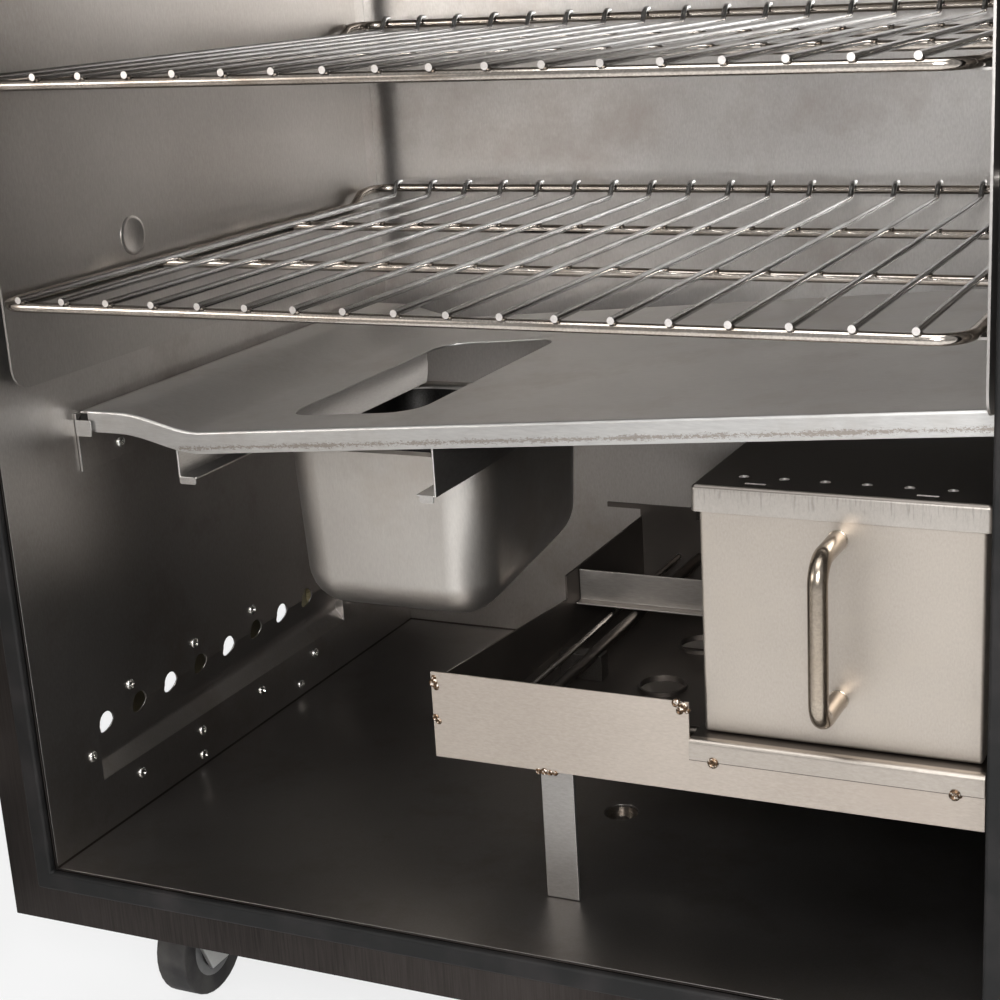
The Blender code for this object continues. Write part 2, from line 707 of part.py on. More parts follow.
def make_rack(name, mirrored):
    """A side panel with a folded ledge for each grate level and spacers to the wall."""
    bottom = RACK_BOTTOM_Z + (RACK_RIGHT_RAISE if mirrored else 0)
    top = CAVITY_HEIGHT - RACK_TOP_MARGIN
    back = RACK_FRONT_Y + RACK_DEPTH
    outline = round_rectangle((RACK_FRONT_Y, bottom), (back, top), RACK_CORNER)
    panel = plate([outline], SHEET, "YZ", RACK_STANDOFF)
    for level in range(RACK_LEVELS):
        ledge_top = GRATE_ROD_Z + RACK_LEVEL_PITCH * level - FRAME_ROD_RADIUS - GAP
        fuse(
            panel,
            box(
                (RACK_STANDOFF + SHEET / 2, RACK_FRONT_Y + RACK_CORNER, ledge_top - SHEET),
                (RACK_STANDOFF + SHEET / 2 + RACK_LEDGE_REACH, back - RACK_CORNER, ledge_top),
            ),
        )
    for y in (RACK_FRONT_Y + 2 * RACK_SPACER, back - 2 * RACK_SPACER):
        for z in (RACK_BOTTOM_Z + RACK_LEVEL_PITCH, top - RACK_SPACER):
            centre = ((GAP + RACK_STANDOFF + SHEET / 2) / 2, y, z)
            length = RACK_STANDOFF + SHEET / 2 - GAP
            fuse(panel, cylinder(centre, (1, 0, 0), RACK_SPACER / 2, length, 12))
    place(panel, name, root)
    if mirrored:
        bpy.context.view_layer.update()
        for obj in [panel] + [m.object for m in panel.modifiers]:
            flip = Matrix.Translation((CAVITY_WIDTH, 0, 0)) @ Matrix.Diagonal((-1, 1, 1, 1))
            own = Matrix.Translation(obj.location)
            obj.data.transform(own.inverted() @ flip @ own)
            obj.data.flip_normals()


def make_grate(name, level):
    """A wire grate: a round frame, cross rods under it and wires that rise over the rear rod."""
    z = GRATE_ROD_Z + RACK_LEVEL_PITCH * level
    left = GRATE_SIDE_GAP + FRAME_ROD_RADIUS
    right = CAVITY_WIDTH - left
    wire_z = z + FRAME_ROD_RADIUS + WIRE_RADIUS - WIRE_SINK
    rear_y = WIRE_KINK_Y + WIRE_RISE_RUN
    rear_z = z + WIRE_RISE
    corner = round_rectangle((left, GRATE_FRONT_Y), (right, rear_y), GRATE_CORNER, 3)
    frame = rods(
        [[(x, y, z if y < WIRE_KINK_Y - GRATE_CORNER else rear_z) for x, y in corner]],
        FRAME_ROD_RADIUS,
        closed=True,
    )
    overlap = FRAME_ROD_RADIUS / 2
    crossing = [[(left - overlap, y, z), (right + overlap, y, z)] for y in (CROSS_ROD_1_Y, CROSS_ROD_2_Y)]
    wires = []
    for i in range(WIRE_COUNT):
        x = WIRE_FIRST_X + WIRE_PITCH * i
        wires.append(
            [
                (x, GRATE_FRONT_Y - WIRE_OVERHANG, wire_z),
                (x, WIRE_KINK_Y - WIRE_OVERHANG, wire_z),
                (x, rear_y + WIRE_OVERHANG, wire_z + WIRE_RISE),
            ]
        )
    fuse(frame, rods(crossing, FRAME_ROD_RADIUS), rods(wires, WIRE_RADIUS))
    carrier = empty(name + "_slide", (CAVITY_WIDTH / 2, GRATE_FRONT_Y, z), root)
    hang(frame, name, carrier)


def baffle_height(x):
    """The baffle's top surface: a flat wing, a soft S down to the valley, a straight rise."""
    if x <= BAFFLE_WING_X:
        return BAFFLE_WING_Z
    if x < BAFFLE_VALLEY_X:
        share = (x - BAFFLE_WING_X) / (BAFFLE_VALLEY_X - BAFFLE_WING_X)
        drop = (1 - math.cos(math.pi * share)) / 2
        return BAFFLE_WING_Z + (BAFFLE_VALLEY_Z - BAFFLE_WING_Z) * drop
    end = CAVITY_WIDTH - BAFFLE_RIGHT_GAP
    share = (x - BAFFLE_VALLEY_X) / (end - BAFFLE_VALLEY_X)
    return BAFFLE_VALLEY_Z + (BAFFLE_RIGHT_Z - BAFFLE_VALLEY_Z) * share


def baffle_line():
    """The x places at which the baffle's outline has its points."""
    bend = [
        BAFFLE_WING_X + (BAFFLE_VALLEY_X - BAFFLE_WING_X) * i / BAFFLE_BEND_STEPS
        for i in range(BAFFLE_BEND_STEPS + 1)
    ]
    return [BAFFLE_LEFT_X] + bend + [CAVITY_WIDTH - BAFFLE_RIGHT_GAP]


def baffle_outline(top_offset, depth):
    """The outline in XZ between two depths under the baffle's top surface."""
    line = baffle_line()
    top = [(x, baffle_height(x) - top_offset) for x in line]
    bottom = [(x, baffle_height(x) - depth) for x in reversed(line)]
    return top + bottom


def make_baffle():
    """The bent deflector with its front lip and the drip opening, and the two pan rails under it."""
    carrier = empty("baffle_slide", (CAVITY_WIDTH / 2, BAFFLE_FRONT_Y, BAFFLE_WING_Z), root)
    sheet = plate([baffle_outline(0, SHEET)], BAFFLE_DEPTH, "XZ", BAFFLE_FRONT_Y)
    fuse(sheet, plate([baffle_outline(SHEET / 2, BAFFLE_LIP)], SHEET, "XZ", BAFFLE_FRONT_Y - SHEET / 4))
    hole = plate(
        [
            round_rectangle(
                (BAFFLE_HOLE_LEFT, BAFFLE_HOLE_FRONT),
                (BAFFLE_HOLE_RIGHT, BAFFLE_HOLE_BACK),
                BAFFLE_HOLE_CORNER,
            )
        ],
        2 * BAFFLE_LIP,
        "XY",
        BAFFLE_VALLEY_Z - BAFFLE_LIP / 2,
    )
    cut(sheet, hole)
    hang(sheet, "baffle", carrier)
    start = BAFFLE_FRONT_Y + 2 * SHEET
    for name, web_x, side in (
        ("pan_rail_left", RAIL_LEFT_X, 1),
        ("pan_rail_right", RAIL_LEFT_X + RAIL_SPACING, -1),
    ):
        inner = web_x - side * SHEET
        tip = web_x + side * RAIL_SHELF
        web_top = min(baffle_height(web_x), baffle_height(inner)) - SHEET - GAP
        rail = box(
            (min(web_x, inner), start, RAIL_BOTTOM_Z),
            (max(web_x, inner), start + RAIL_DEPTH, web_top),
        )
        shelf = box(
            (min(inner, tip), start, RAIL_BOTTOM_Z),
            (max(inner, tip), start + RAIL_DEPTH, RAIL_BOTTOM_Z + SHEET),
        )
        fuse(rail, shelf)
        hang(rail, name, carrier)
    make_pan(carrier)


def make_pan(baffle_carrier):
    """The deep-drawn grease pan: it slides on the two rails by its rim, its floor falls forwards."""
    rail_right = RAIL_LEFT_X + RAIL_SPACING
    rim_left = (RAIL_LEFT_X + rail_right - PAN_RIM_WIDTH) / 2 + PAN_SHIFT_X
    rim_low = (rim_left, PAN_FRONT_Y)
    rim_high = (rim_left + PAN_RIM_WIDTH, PAN_FRONT_Y + PAN_RIM_DEPTH)
    rim_z = RAIL_BOTTOM_Z + SHEET + GAP
    top_low = (rim_low[0] + PAN_RIM, rim_low[1] + PAN_RIM, rim_z + PAN_SHEET / 2)
    top_high = (rim_high[0] - PAN_RIM, rim_high[1] - PAN_RIM, rim_z + PAN_SHEET / 2)
    bowl = box((top_low[0], top_low[1], rim_z - PAN_DEPTH), top_high)
    for vertex in bowl.data.vertices:
        if vertex.co.z < 0:
            vertex.co.x -= math.copysign(PAN_DRAFT, vertex.co.x)
            vertex.co.y -= math.copysign(PAN_DRAFT, vertex.co.y)
            if vertex.co.y > 0:
                vertex.co.z += PAN_FLOOR_RISE
    work = bmesh.new()
    work.from_mesh(bowl.data)
    work.faces.ensure_lookup_table()
    lid = [face for face in work.faces if face.normal.z > 0]
    bmesh.ops.delete(work, geom=lid, context="FACES_ONLY")
    round_these = [edge for edge in work.edges if not edge.is_boundary]
    bmesh.ops.bevel(
        work, geom=round_these, offset=PAN_CORNER, segments=4, profile=0.5, affect="EDGES"
    )
    work.to_mesh(bowl.data)
    work.free()
    bowl.data.shade_smooth()
    solid = bowl.modifiers.new("sheet", "SOLIDIFY")
    solid.thickness = PAN_SHEET
    solid.offset = -1
    outer = round_rectangle(rim_low, rim_high, PAN_CORNER)
    inner = round_rectangle(
        (rim_low[0] + PAN_RIM + PAN_SHEET / 2, rim_low[1] + PAN_RIM + PAN_SHEET / 2),
        (rim_high[0] - PAN_RIM - PAN_SHEET / 2, rim_high[1] - PAN_RIM - PAN_SHEET / 2),
        PAN_CORNER,
    )
    fuse(bowl, plate([outer, inner], PAN_SHEET, "XY", rim_z))
    place_here = ((rim_low[0] + rim_high[0]) / 2, PAN_FRONT_Y, rim_z)
    carrier = empty("pan_slide", place_here, root)
    hang(bowl, "grease_pan", carrier)
    carrier.location = Vector(place_here) - Vector(baffle_carrier.location)
    carrier.parent = baffle_carrier


def make_brackets():
    """A hooked shelf on each side wall that carries an edge of the baffle."""
    for name, side, edge_z in (
        ("baffle_bracket_left", 1, BAFFLE_WING_Z),
        ("baffle_bracket_right", -1, BAFFLE_RIGHT_Z),
    ):
        wall = GAP if side > 0 else CAVITY_WIDTH - GAP
        edge = BAFFLE_LEFT_X if side > 0 else CAVITY_WIDTH - BAFFLE_RIGHT_GAP
        slope = 0 if side > 0 else (BAFFLE_RIGHT_Z - baffle_height(edge - BRACKET_WIDTH))
        top = edge_z - SHEET - slope - GAP
        low_x, high_x = sorted((wall, wall + side * SHEET))
        back = BRACKET_FRONT_Y + BAFFLE_DEPTH
        hook = box((low_x, BRACKET_FRONT_Y, top - BRACKET_DROP), (high_x, back, top - SHEET / 2))
        low_x, high_x = sorted((wall + side * SHEET / 2, edge + side * BRACKET_WIDTH / 2))
        shelf_front = BAFFLE_FRONT_Y + 2 * SHEET
        fuse(hook, box((low_x, shelf_front, top - SHEET), (high_x, back - SHEET, top)))
        low_x, high_x = sorted((wall + side * SHEET / 2, edge - side * GAP))
        plug_top = top - BRACKET_LIP_DROP
        plug_y = BRACKET_FRONT_Y + SHEET / 4
        fuse(hook, box((low_x, plug_y, plug_top - BRACKET_LIP), (high_x, plug_y + SHEET, plug_top)))
        place(hook, name, root)


def make_tray():
    """The element tray: an open box with a stepped front, a sloping left side and air collars."""
    tray = box(
        (TRAY_LEFT_X, TRAY_FRONT_Y, TRAY_BOTTOM_Z), (TRAY_RIGHT_X, TRAY_BACK_Y, REAR_PLATE_TOP_Z)
    )
    back_inside = TRAY_BACK_Y - SHEET
    step_top = LEDGE_TOP_Z - SHEET - GAP
    cut(
        tray,
        box(
            (TRAY_LEFT_X + SHEET, TRAY_FRONT_Y + SHEET, TRAY_BOTTOM_Z + SHEET),
            (TRAY_RIGHT_X - SHEET, back_inside, REAR_PLATE_TOP_Z + OVERRUN),
        ),
        box(
            (TRAY_LEFT_X - OVERRUN, TRAY_FRONT_Y - OVERRUN, TRAY_REAR_TOP_Z),
            (TRAY_RIGHT_X + OVERRUN, back_inside, REAR_PLATE_TOP_Z + OVERRUN),
        ),
        box(
            (TRAY_LEFT_X + REAR_PLATE_WIDTH, back_inside - OVERRUN, TRAY_REAR_TOP_Z),
            (TRAY_RIGHT_X + OVERRUN, TRAY_BACK_Y + OVERRUN, REAR_PLATE_TOP_Z + OVERRUN),
        ),
        box(
            (TRAY_STEP_X, TRAY_FRONT_Y - OVERRUN, step_top),
            (TRAY_RIGHT_X + OVERRUN, CROSS_BAR_Y - OVERRUN, REAR_PLATE_TOP_Z + OVERRUN),
        ),
    )
    front_top = box(
        (TRAY_LEFT_X, TRAY_FRONT_Y, TRAY_REAR_TOP_Z - OVERRUN),
        (TRAY_STEP_X, TRAY_FRONT_Y + SHEET, TRAY_TOP_Z),
    )
    fuse(tray, front_top)
    slope = plate(
        [
            [
                (TRAY_FRONT_Y + SHEET, TRAY_REAR_TOP_Z),
                (TRAY_SLOPE_END_Y, TRAY_SLOPE_END_Z),
                (TRAY_SLOPE_END_Y, REAR_PLATE_TOP_Z),
                (TRAY_FRONT_Y + SHEET, REAR_PLATE_TOP_Z),
            ]
        ],
        2 * OVERRUN,
        "YZ",
        TRAY_LEFT_X - OVERRUN,
    )
    cut(tray, slope)
    tab = box(
        (TRAY_LEFT_X - REAR_TAB, back_inside, REAR_PLATE_TOP_Z - REAR_TAB_HEIGHT),
        (TRAY_LEFT_X + SHEET, TRAY_BACK_Y, REAR_PLATE_TOP_Z),
    )
    fuse(tray, tab)
    for i in range(COLLAR_COUNT):
        y = COLLAR_FIRST_Y + COLLAR_PITCH * i
        z = TRAY_BOTTOM_Z + SHEET / 2 + COLLAR_HEIGHT / 2
        fuse(tray, cylinder((COLLAR_X, y, z), (0, 0, 1), COLLAR_RADIUS, COLLAR_HEIGHT + SHEET / 2, 20))
        cut(
            tray,
            cylinder((COLLAR_X, y, TRAY_BOTTOM_Z), (0, 0, 1), COLLAR_RADIUS - SHEET, 4 * COLLAR_HEIGHT, 20),
        )
    for x, radius in (
        (ELEMENT_LEFT_X, ELEMENT_RADIUS),
        (ELEMENT_RIGHT_X, ELEMENT_RADIUS),
        (PROBE_X, PROBE_RADIUS),
    ):
        cut(tray, cylinder((x, TRAY_BACK_Y, ELEMENT_Z), (0, 1, 0), radius + GAP, 4 * SHEET, 16))
    place(tray, "element_tray", root)


def make_tray_fittings():
    """The ledge, the cross bar, the rest at the box's rear and the tray's legs."""
    outside = TRAY_FRONT_Y - GAP - SHEET
    ledge = box(
        (TRAY_STEP_X, outside, LEDGE_TOP_Z - SHEET),
        (TRAY_RIGHT_X, outside + LEDGE_DEPTH, LEDGE_TOP_Z),
    )
    fuse(
        ledge,
        box(
            (TRAY_STEP_X, outside, LEDGE_TOP_Z - LEDGE_DROP),
            (TRAY_RIGHT_X, outside + SHEET, LEDGE_TOP_Z - SHEET / 2),
        ),
    )
    place(ledge, "ledge_rail", root)

    inner_left = TRAY_LEFT_X + SHEET + GAP
    inner_right = TRAY_RIGHT_X - SHEET - GAP
    bar = box(
        (inner_left, CROSS_BAR_Y, CROSS_BAR_BOTTOM_Z), (inner_right, CROSS_BAR_Y + SHEET, CROSS_BAR_TOP_Z)
    )
    fuse(
        bar,
        box(
            (inner_left, CROSS_BAR_Y - CROSS_BAR_FOLD, CROSS_BAR_BOTTOM_Z),
            (inner_right, CROSS_BAR_Y + SHEET / 2, CROSS_BAR_BOTTOM_Z + SHEET),
        ),
    )
    place(bar, "tray_cross_bar", root)

    tray_floor = TRAY_BOTTOM_Z + SHEET + GAP
    rest_y = TRAY_FRONT_Y + BOX_SETBACK + BOX_DEPTH - REST_SETBACK
    left = BOX_LEFT_X + REST_INSET
    right = BOX_RIGHT_X - REST_INSET
    rest = box((left, rest_y, LEDGE_TOP_Z - SHEET), (right, rest_y + REST_DEPTH, LEDGE_TOP_Z))
    fuse(
        rest,
        box((left, rest_y, tray_floor), (left + SHEET, rest_y + REST_DEPTH, LEDGE_TOP_Z - SHEET / 2)),
        box((right - SHEET, rest_y, tray_floor), (right, rest_y + REST_DEPTH, LEDGE_TOP_Z - SHEET / 2)),
    )
    place(rest, "box_rear_rest", root)

    top = TRAY_BOTTOM_Z - GAP
    for name, x, y in (
        ("tray_leg_front", LEG_LEFT_X, TRAY_FRONT_Y + LEG_INSET_Y),
        ("tray_leg_rear", LEG_REAR_X, TRAY_BACK_Y - LEG_INSET_Y - LEG_TAB_DEPTH),
    ):
        leg = box((x - LEG_WIDTH / 2, y, GAP), (x + LEG_WIDTH / 2, y + LEG_THICKNESS, top - SHEET / 2))
        half = LEG_TAB_WIDTH / 2
        fuse(leg, box((x - half, y, top - SHEET), (x + half, y + LEG_TAB_DEPTH, top)))
        place(leg, name, root)


def make_element():
    """The tubular heating element, the flange it enters, its support and the thermostat probe."""
    flange_front = CAVITY_DEPTH - GAP - FLANGE_THICKNESS
    seat = CAVITY_DEPTH - 2 * GAP
    path = [(ELEMENT_LEFT_X, seat, ELEMENT_Z)]
    for centre_x, start in ((ELEMENT_LEFT_X + ELEMENT_BEND, 180), (ELEMENT_RIGHT_X - ELEMENT_BEND, 270)):
        for step in range(ELEMENT_BEND_STEPS + 1):
            angle = math.radians(start + 90 * step / ELEMENT_BEND_STEPS)
            path.append(
                (
                    centre_x + ELEMENT_BEND * math.cos(angle),
                    ELEMENT_FRONT_Y + ELEMENT_BEND + ELEMENT_BEND * math.sin(angle),
                    ELEMENT_Z,
                )
            )
    path.append((ELEMENT_RIGHT_X, seat, ELEMENT_Z))
    place(rods([path], ELEMENT_RADIUS, resolution=2), "heating_element", root)
    probe = rods([[(PROBE_X, PROBE_FRONT_Y, ELEMENT_Z), (PROBE_X, seat, ELEMENT_Z)]], PROBE_RADIUS)
    place(probe, "thermostat_probe", root)
    flange = box(
        (PROBE_X - FLANGE_MARGIN, flange_front, ELEMENT_Z - FLANGE_HEIGHT / 2),
        (ELEMENT_RIGHT_X + FLANGE_MARGIN, CAVITY_DEPTH - GAP, ELEMENT_Z + FLANGE_HEIGHT / 2),
    )
    for x, radius in (
        (ELEMENT_LEFT_X, ELEMENT_RADIUS),
        (ELEMENT_RIGHT_X, ELEMENT_RADIUS),
        (PROBE_X, PROBE_RADIUS),
    ):
        hole = cylinder((x, CAVITY_DEPTH, ELEMENT_Z), (0, 1, 0), radius + GAP, 3 * FLANGE_THICKNESS, 16)
        cut(flange, hole)
    place(flange, "element_flange", root)
    support = box(
        (PROBE_X - SUPPORT_MARGIN, SUPPORT_Y - SUPPORT_LENGTH / 2, TRAY_BOTTOM_Z + SHEET + GAP),
        (ELEMENT_LEFT_X + SUPPORT_MARGIN, SUPPORT_Y + SUPPORT_LENGTH / 2, ELEMENT_Z),
    )
    for x, radius in ((ELEMENT_LEFT_X, ELEMENT_RADIUS), (PROBE_X, PROBE_RADIUS)):
        cut(support, cylinder((x, SUPPORT_Y, ELEMENT_Z), (0, 1, 0), radius + GAP, 2 * SUPPORT_LENGTH, 16))
    place(support, "element_support", root)


def make_wood_box():
    """The wood box with its lift-off lid and D handle, which slides out over the ledge."""
    front = TRAY_FRONT_Y + BOX_SETBACK
    back = front + BOX_DEPTH
    bottom = LEDGE_TOP_Z + GAP
    carrier = empty("wood_box_slide", ((BOX_LEFT_X + BOX_RIGHT_X) / 2, front, bottom), root)
    lid_under = BOX_TOP_Z - SHEET
    body = box((BOX_LEFT_X, front, bottom), (BOX_RIGHT_X, back, lid_under - GAP))
    cut(
        body,
        box(
            (BOX_LEFT_X + SHEET, front + SHEET, bottom + SHEET),
            (BOX_RIGHT_X - SHEET, back - SHEET, BOX_TOP_Z + OVERRUN),
        ),
    )
    hang(body, "wood_box", carrier)

    lid = box(
        (BOX_LEFT_X - LID_OVERLAP, front - LID_OVERLAP, BOX_TOP_Z - LID_LIP),
        (BOX_RIGHT_X + LID_OVERLAP, back + LID_OVERLAP, BOX_TOP_Z),
    )
    inner = LID_OVERLAP - SHEET
    cut(
        lid,
        box(
            (BOX_LEFT_X - inner, front - inner, BOX_TOP_Z - LID_LIP - OVERRUN),
            (BOX_RIGHT_X + inner, back + inner, lid_under),
        ),
    )
    for i in range(LID_HOLE_COUNT):
        centre = (LID_HOLE_FIRST_X + LID_HOLE_PITCH * i, front + LID_HOLE_SETBACK, BOX_TOP_Z)
        cut(lid, cylinder(centre, (0, 0, 1), LID_HOLE_RADIUS, 4 * SHEET, 12))
    lid_place = Vector(((BOX_LEFT_X + BOX_RIGHT_X) / 2, front, BOX_TOP_Z))
    lid_carrier = empty("lid_lift", lid_place, root)
    hang(lid, "wood_box_lid", lid_carrier)
    lid_carrier.location = lid_place - Vector(carrier.location)
    lid_carrier.parent = carrier

    bar_y = front - HANDLE_REACH
    high_z = HANDLE_LOW_Z + HANDLE_SPACING
    path = [(HANDLE_X, front - GAP, HANDLE_LOW_Z)]
    for centre_z, start in ((HANDLE_LOW_Z + HANDLE_BEND, 270), (high_z - HANDLE_BEND, 180)):
        for step in range(HANDLE_BEND_STEPS + 1):
            angle = math.radians(start - 90 * step / HANDLE_BEND_STEPS)
            path.append(
                (
                    HANDLE_X,
                    bar_y + HANDLE_BEND + HANDLE_BEND * math.cos(angle),
                    centre_z + HANDLE_BEND * math.sin(angle),
                )
            )
    path.append((HANDLE_X, front - GAP, high_z))
    hang(rods([path], HANDLE_RADIUS, resolution=2), "wood_box_handle", carrier)


def make_controls():
    """The control box on top: casing, front panel, thermostat, knob, switch, lamp and inlet."""
    middle = CAVITY_WIDTH / 2
    base = OUTER_TOP + GAP
    top = base + CONTROL_HEIGHT
    left = middle - CONTROL_WIDTH / 2
    right = middle + CONTROL_WIDTH / 2
    front = CONTROL_FRONT_Y
    back = front + CONTROL_DEPTH
    centre_z = base + CONTROL_HEIGHT / 2
    casing = box((left, front, base), (right, back, top))
    socket_cut = box(
        (middle - INLET_SOCKET_WIDTH / 2 - GAP, back - 2 * SHEET, centre_z - INLET_SOCKET_HEIGHT / 2 - GAP),
        (middle + INLET_SOCKET_WIDTH / 2 + GAP, back + SHEET, centre_z + INLET_SOCKET_HEIGHT / 2 + GAP),
    )
    cut(
        casing,
        box((left + SHEET, front - OVERRUN, base - OVERRUN), (right - SHEET, back - SHEET, top - SHEET)),
        socket_cut,
    )
    place(casing, "control_housing", root)

    panel = box(
        (left + SHEET + GAP, front, base),
        (right - SHEET - GAP, front + PANEL_THICKNESS, top - SHEET - GAP),
    )
    knob_x = middle + KNOB_OFFSET_X
    switch_x = middle + SWITCH_OFFSET_X
    lamp_x = middle + LAMP_OFFSET_X
    through = 4 * PANEL_THICKNESS
    cut(
        panel,
        cylinder((knob_x, front, centre_z), (0, 1, 0), SHAFT_RADIUS + PANEL_HOLE_CLEAR, through, 16),
        cylinder((lamp_x, front, centre_z), (0, 1, 0), LAMP_RADIUS + GAP, through, 16),
        box(
            (switch_x - SWITCH_WIDTH / 2 - GAP, front - OVERRUN, centre_z - SWITCH_HEIGHT / 2 - GAP),
            (switch_x + SWITCH_WIDTH / 2 + GAP, front + OVERRUN, centre_z + SWITCH_HEIGHT / 2 + GAP),
        ),
    )
    place(panel, "control_panel", root)

    body_front = front + PANEL_THICKNESS + GAP
    place(
        box(
            (knob_x - THERMOSTAT_WIDTH / 2, body_front, base),
            (knob_x + THERMOSTAT_WIDTH / 2, body_front + THERMOSTAT_DEPTH, top - 4 * SHEET),
        ),
        "thermostat_body",
        root,
    )

    knob_carrier = empty("knob_turn", (knob_x, front, centre_z), root)
    knob_back = front - GAP
    knob = cylinder((knob_x, knob_back - KNOB_DEPTH / 2, centre_z), (0, 1, 0), KNOB_RADIUS, KNOB_DEPTH, 32)
    shaft_length = PANEL_THICKNESS + WELD_SINK + GAP
    shaft = cylinder(
        (knob_x, knob_back + (shaft_length - WELD_SINK) / 2, centre_z),
        (0, 1, 0),
        SHAFT_RADIUS,
        shaft_length,
        16,
    )
    ridge = box(
        (knob_x - KNOB_RIDGE / 2, knob_back - KNOB_DEPTH - KNOB_RIDGE, centre_z - KNOB_RADIUS * 0.9),
        (knob_x + KNOB_RIDGE / 2, knob_back - KNOB_DEPTH / 2, centre_z + KNOB_RADIUS * 0.9),
    )
    fuse(knob, shaft, ridge)
    hang(knob, "control_knob", knob_carrier)

    pivot_y = front + SWITCH_DEPTH / 2
    switch_carrier = empty("switch_rock", (switch_x, pivot_y, centre_z), root)
    half_rocker = SWITCH_HEIGHT / 2 - BEZEL_RIM
    rocker = plate(
        [
            [
                (front - SWITCH_PROUD, centre_z + half_rocker * 0.8),
                (front - SWITCH_PROUD / 4, centre_z),
                (front - SWITCH_PROUD / 4, centre_z - half_rocker * 0.8),
                (pivot_y, centre_z - half_rocker * 0.7),
                (pivot_y, centre_z + half_rocker * 0.7),
            ]
        ],
        SWITCH_WIDTH - 2 * BEZEL_RIM,
        "YZ",
        switch_x - SWITCH_WIDTH / 2 + BEZEL_RIM,
    )
    hang(rocker, "switch_rocker", switch_carrier)
    bezel = box(
        (switch_x - SWITCH_WIDTH / 2, front - SHEET, centre_z - SWITCH_HEIGHT / 2),
        (switch_x + SWITCH_WIDTH / 2, front + SWITCH_DEPTH, centre_z + SWITCH_HEIGHT / 2),
    )
    cut(
        bezel,
        box(
            (switch_x - SWITCH_WIDTH / 2 + BEZEL_RIM - GAP, front - OVERRUN, centre_z - half_rocker - GAP),
            (
                switch_x + SWITCH_WIDTH / 2 - BEZEL_RIM + GAP,
                pivot_y + SWITCH_SWING,
                centre_z + half_rocker + GAP,
            ),
        ),
    )
    place(bezel, "switch_bezel", root)
    lamp = cylinder(
        (lamp_x, front - LAMP_PROUD + LAMP_DEPTH / 2, centre_z), (0, 1, 0), LAMP_RADIUS, LAMP_DEPTH, 20
    )
    place(round_edges(lamp, LAMP_PROUD / 3), "pilot_lamp", root)

    socket = box(
        (middle - INLET_SOCKET_WIDTH / 2, back - INLET_SOCKET_DEPTH, centre_z - INLET_SOCKET_HEIGHT / 2),
        (middle + INLET_SOCKET_WIDTH / 2, back + SHEET, centre_z + INLET_SOCKET_HEIGHT / 2),
    )
    flange = box(
        (
            middle - INLET_SOCKET_WIDTH / 2 - INLET_SOCKET_FLANGE,
            back + GAP,
            centre_z - INLET_SOCKET_HEIGHT / 2 - INLET_SOCKET_FLANGE,
        ),
        (
            middle + INLET_SOCKET_WIDTH / 2 + INLET_SOCKET_FLANGE,
            back + 2 * SHEET,
            centre_z + INLET_SOCKET_HEIGHT / 2 + INLET_SOCKET_FLANGE,
        ),
    )
    recess = box(
        (
            middle - INLET_SOCKET_WIDTH / 2 + INLET_SOCKET_WALL,
            back + 2 * SHEET - INLET_SOCKET_RECESS,
            centre_z - INLET_SOCKET_HEIGHT / 2 + INLET_SOCKET_WALL,
        ),
        (
            middle + INLET_SOCKET_WIDTH / 2 - INLET_SOCKET_WALL,
            back + OVERRUN,
            centre_z + INLET_SOCKET_HEIGHT / 2 - INLET_SOCKET_WALL,
        ),
    )
    fuse(socket, flange)
    cut(socket, recess)
    place(socket, "power_socket", root)


def make_vent():
    """The smoke vent on top, with a cap that swings aside on a pin."""
    tube_bottom = CAVITY_HEIGHT + SHEET + GAP
    tube_top = OUTER_TOP + VENT_HEIGHT
    length = tube_top - tube_bottom
    middle = (tube_bottom + tube_top) / 2
    pin_x = VENT_X - VENT_RADIUS - VENT_BOSS_RADIUS + 2 * WELD_SINK
    tube = cylinder((VENT_X, VENT_Y, middle), (0, 0, 1), VENT_RADIUS, length, 32)
    boss_length = VENT_HEIGHT / 2
    pin_length = 2 * VENT_CAP_THICKNESS
    fuse(
        tube,
        cylinder((pin_x, VENT_Y, tube_top - boss_length / 2), (0, 0, 1), VENT_BOSS_RADIUS, boss_length, 16),
        cylinder((pin_x, VENT_Y, tube_top), (0, 0, 1), VENT_PIN_RADIUS, 2 * pin_length, 12),
    )
    cut(tube, cylinder((VENT_X, VENT_Y, middle), (0, 0, 1), VENT_RADIUS - VENT_WALL, 2 * length, 32))
    place(tube, "vent_tube", root)

    cap_z = tube_top + GAP
    carrier = empty("vent_swing", (pin_x, VENT_Y, cap_z), root)
    cap_middle = cap_z + VENT_CAP_THICKNESS / 2
    cap_radius = VENT_RADIUS + VENT_CAP_OVERHANG
    cap = cylinder((VENT_X, VENT_Y, cap_middle), (0, 0, 1), cap_radius, VENT_CAP_THICKNESS, 32)
    ear = cylinder((pin_x, VENT_Y, cap_middle), (0, 0, 1), VENT_BOSS_RADIUS, VENT_CAP_THICKNESS, 16)
    fuse(cap, ear)
    cut(
        cap,
        cylinder((pin_x, VENT_Y, cap_middle), (0, 0, 1), VENT_PIN_RADIUS + GAP, 4 * VENT_CAP_THICKNESS, 12),
    )
    hang(cap, "vent_cap", carrier)


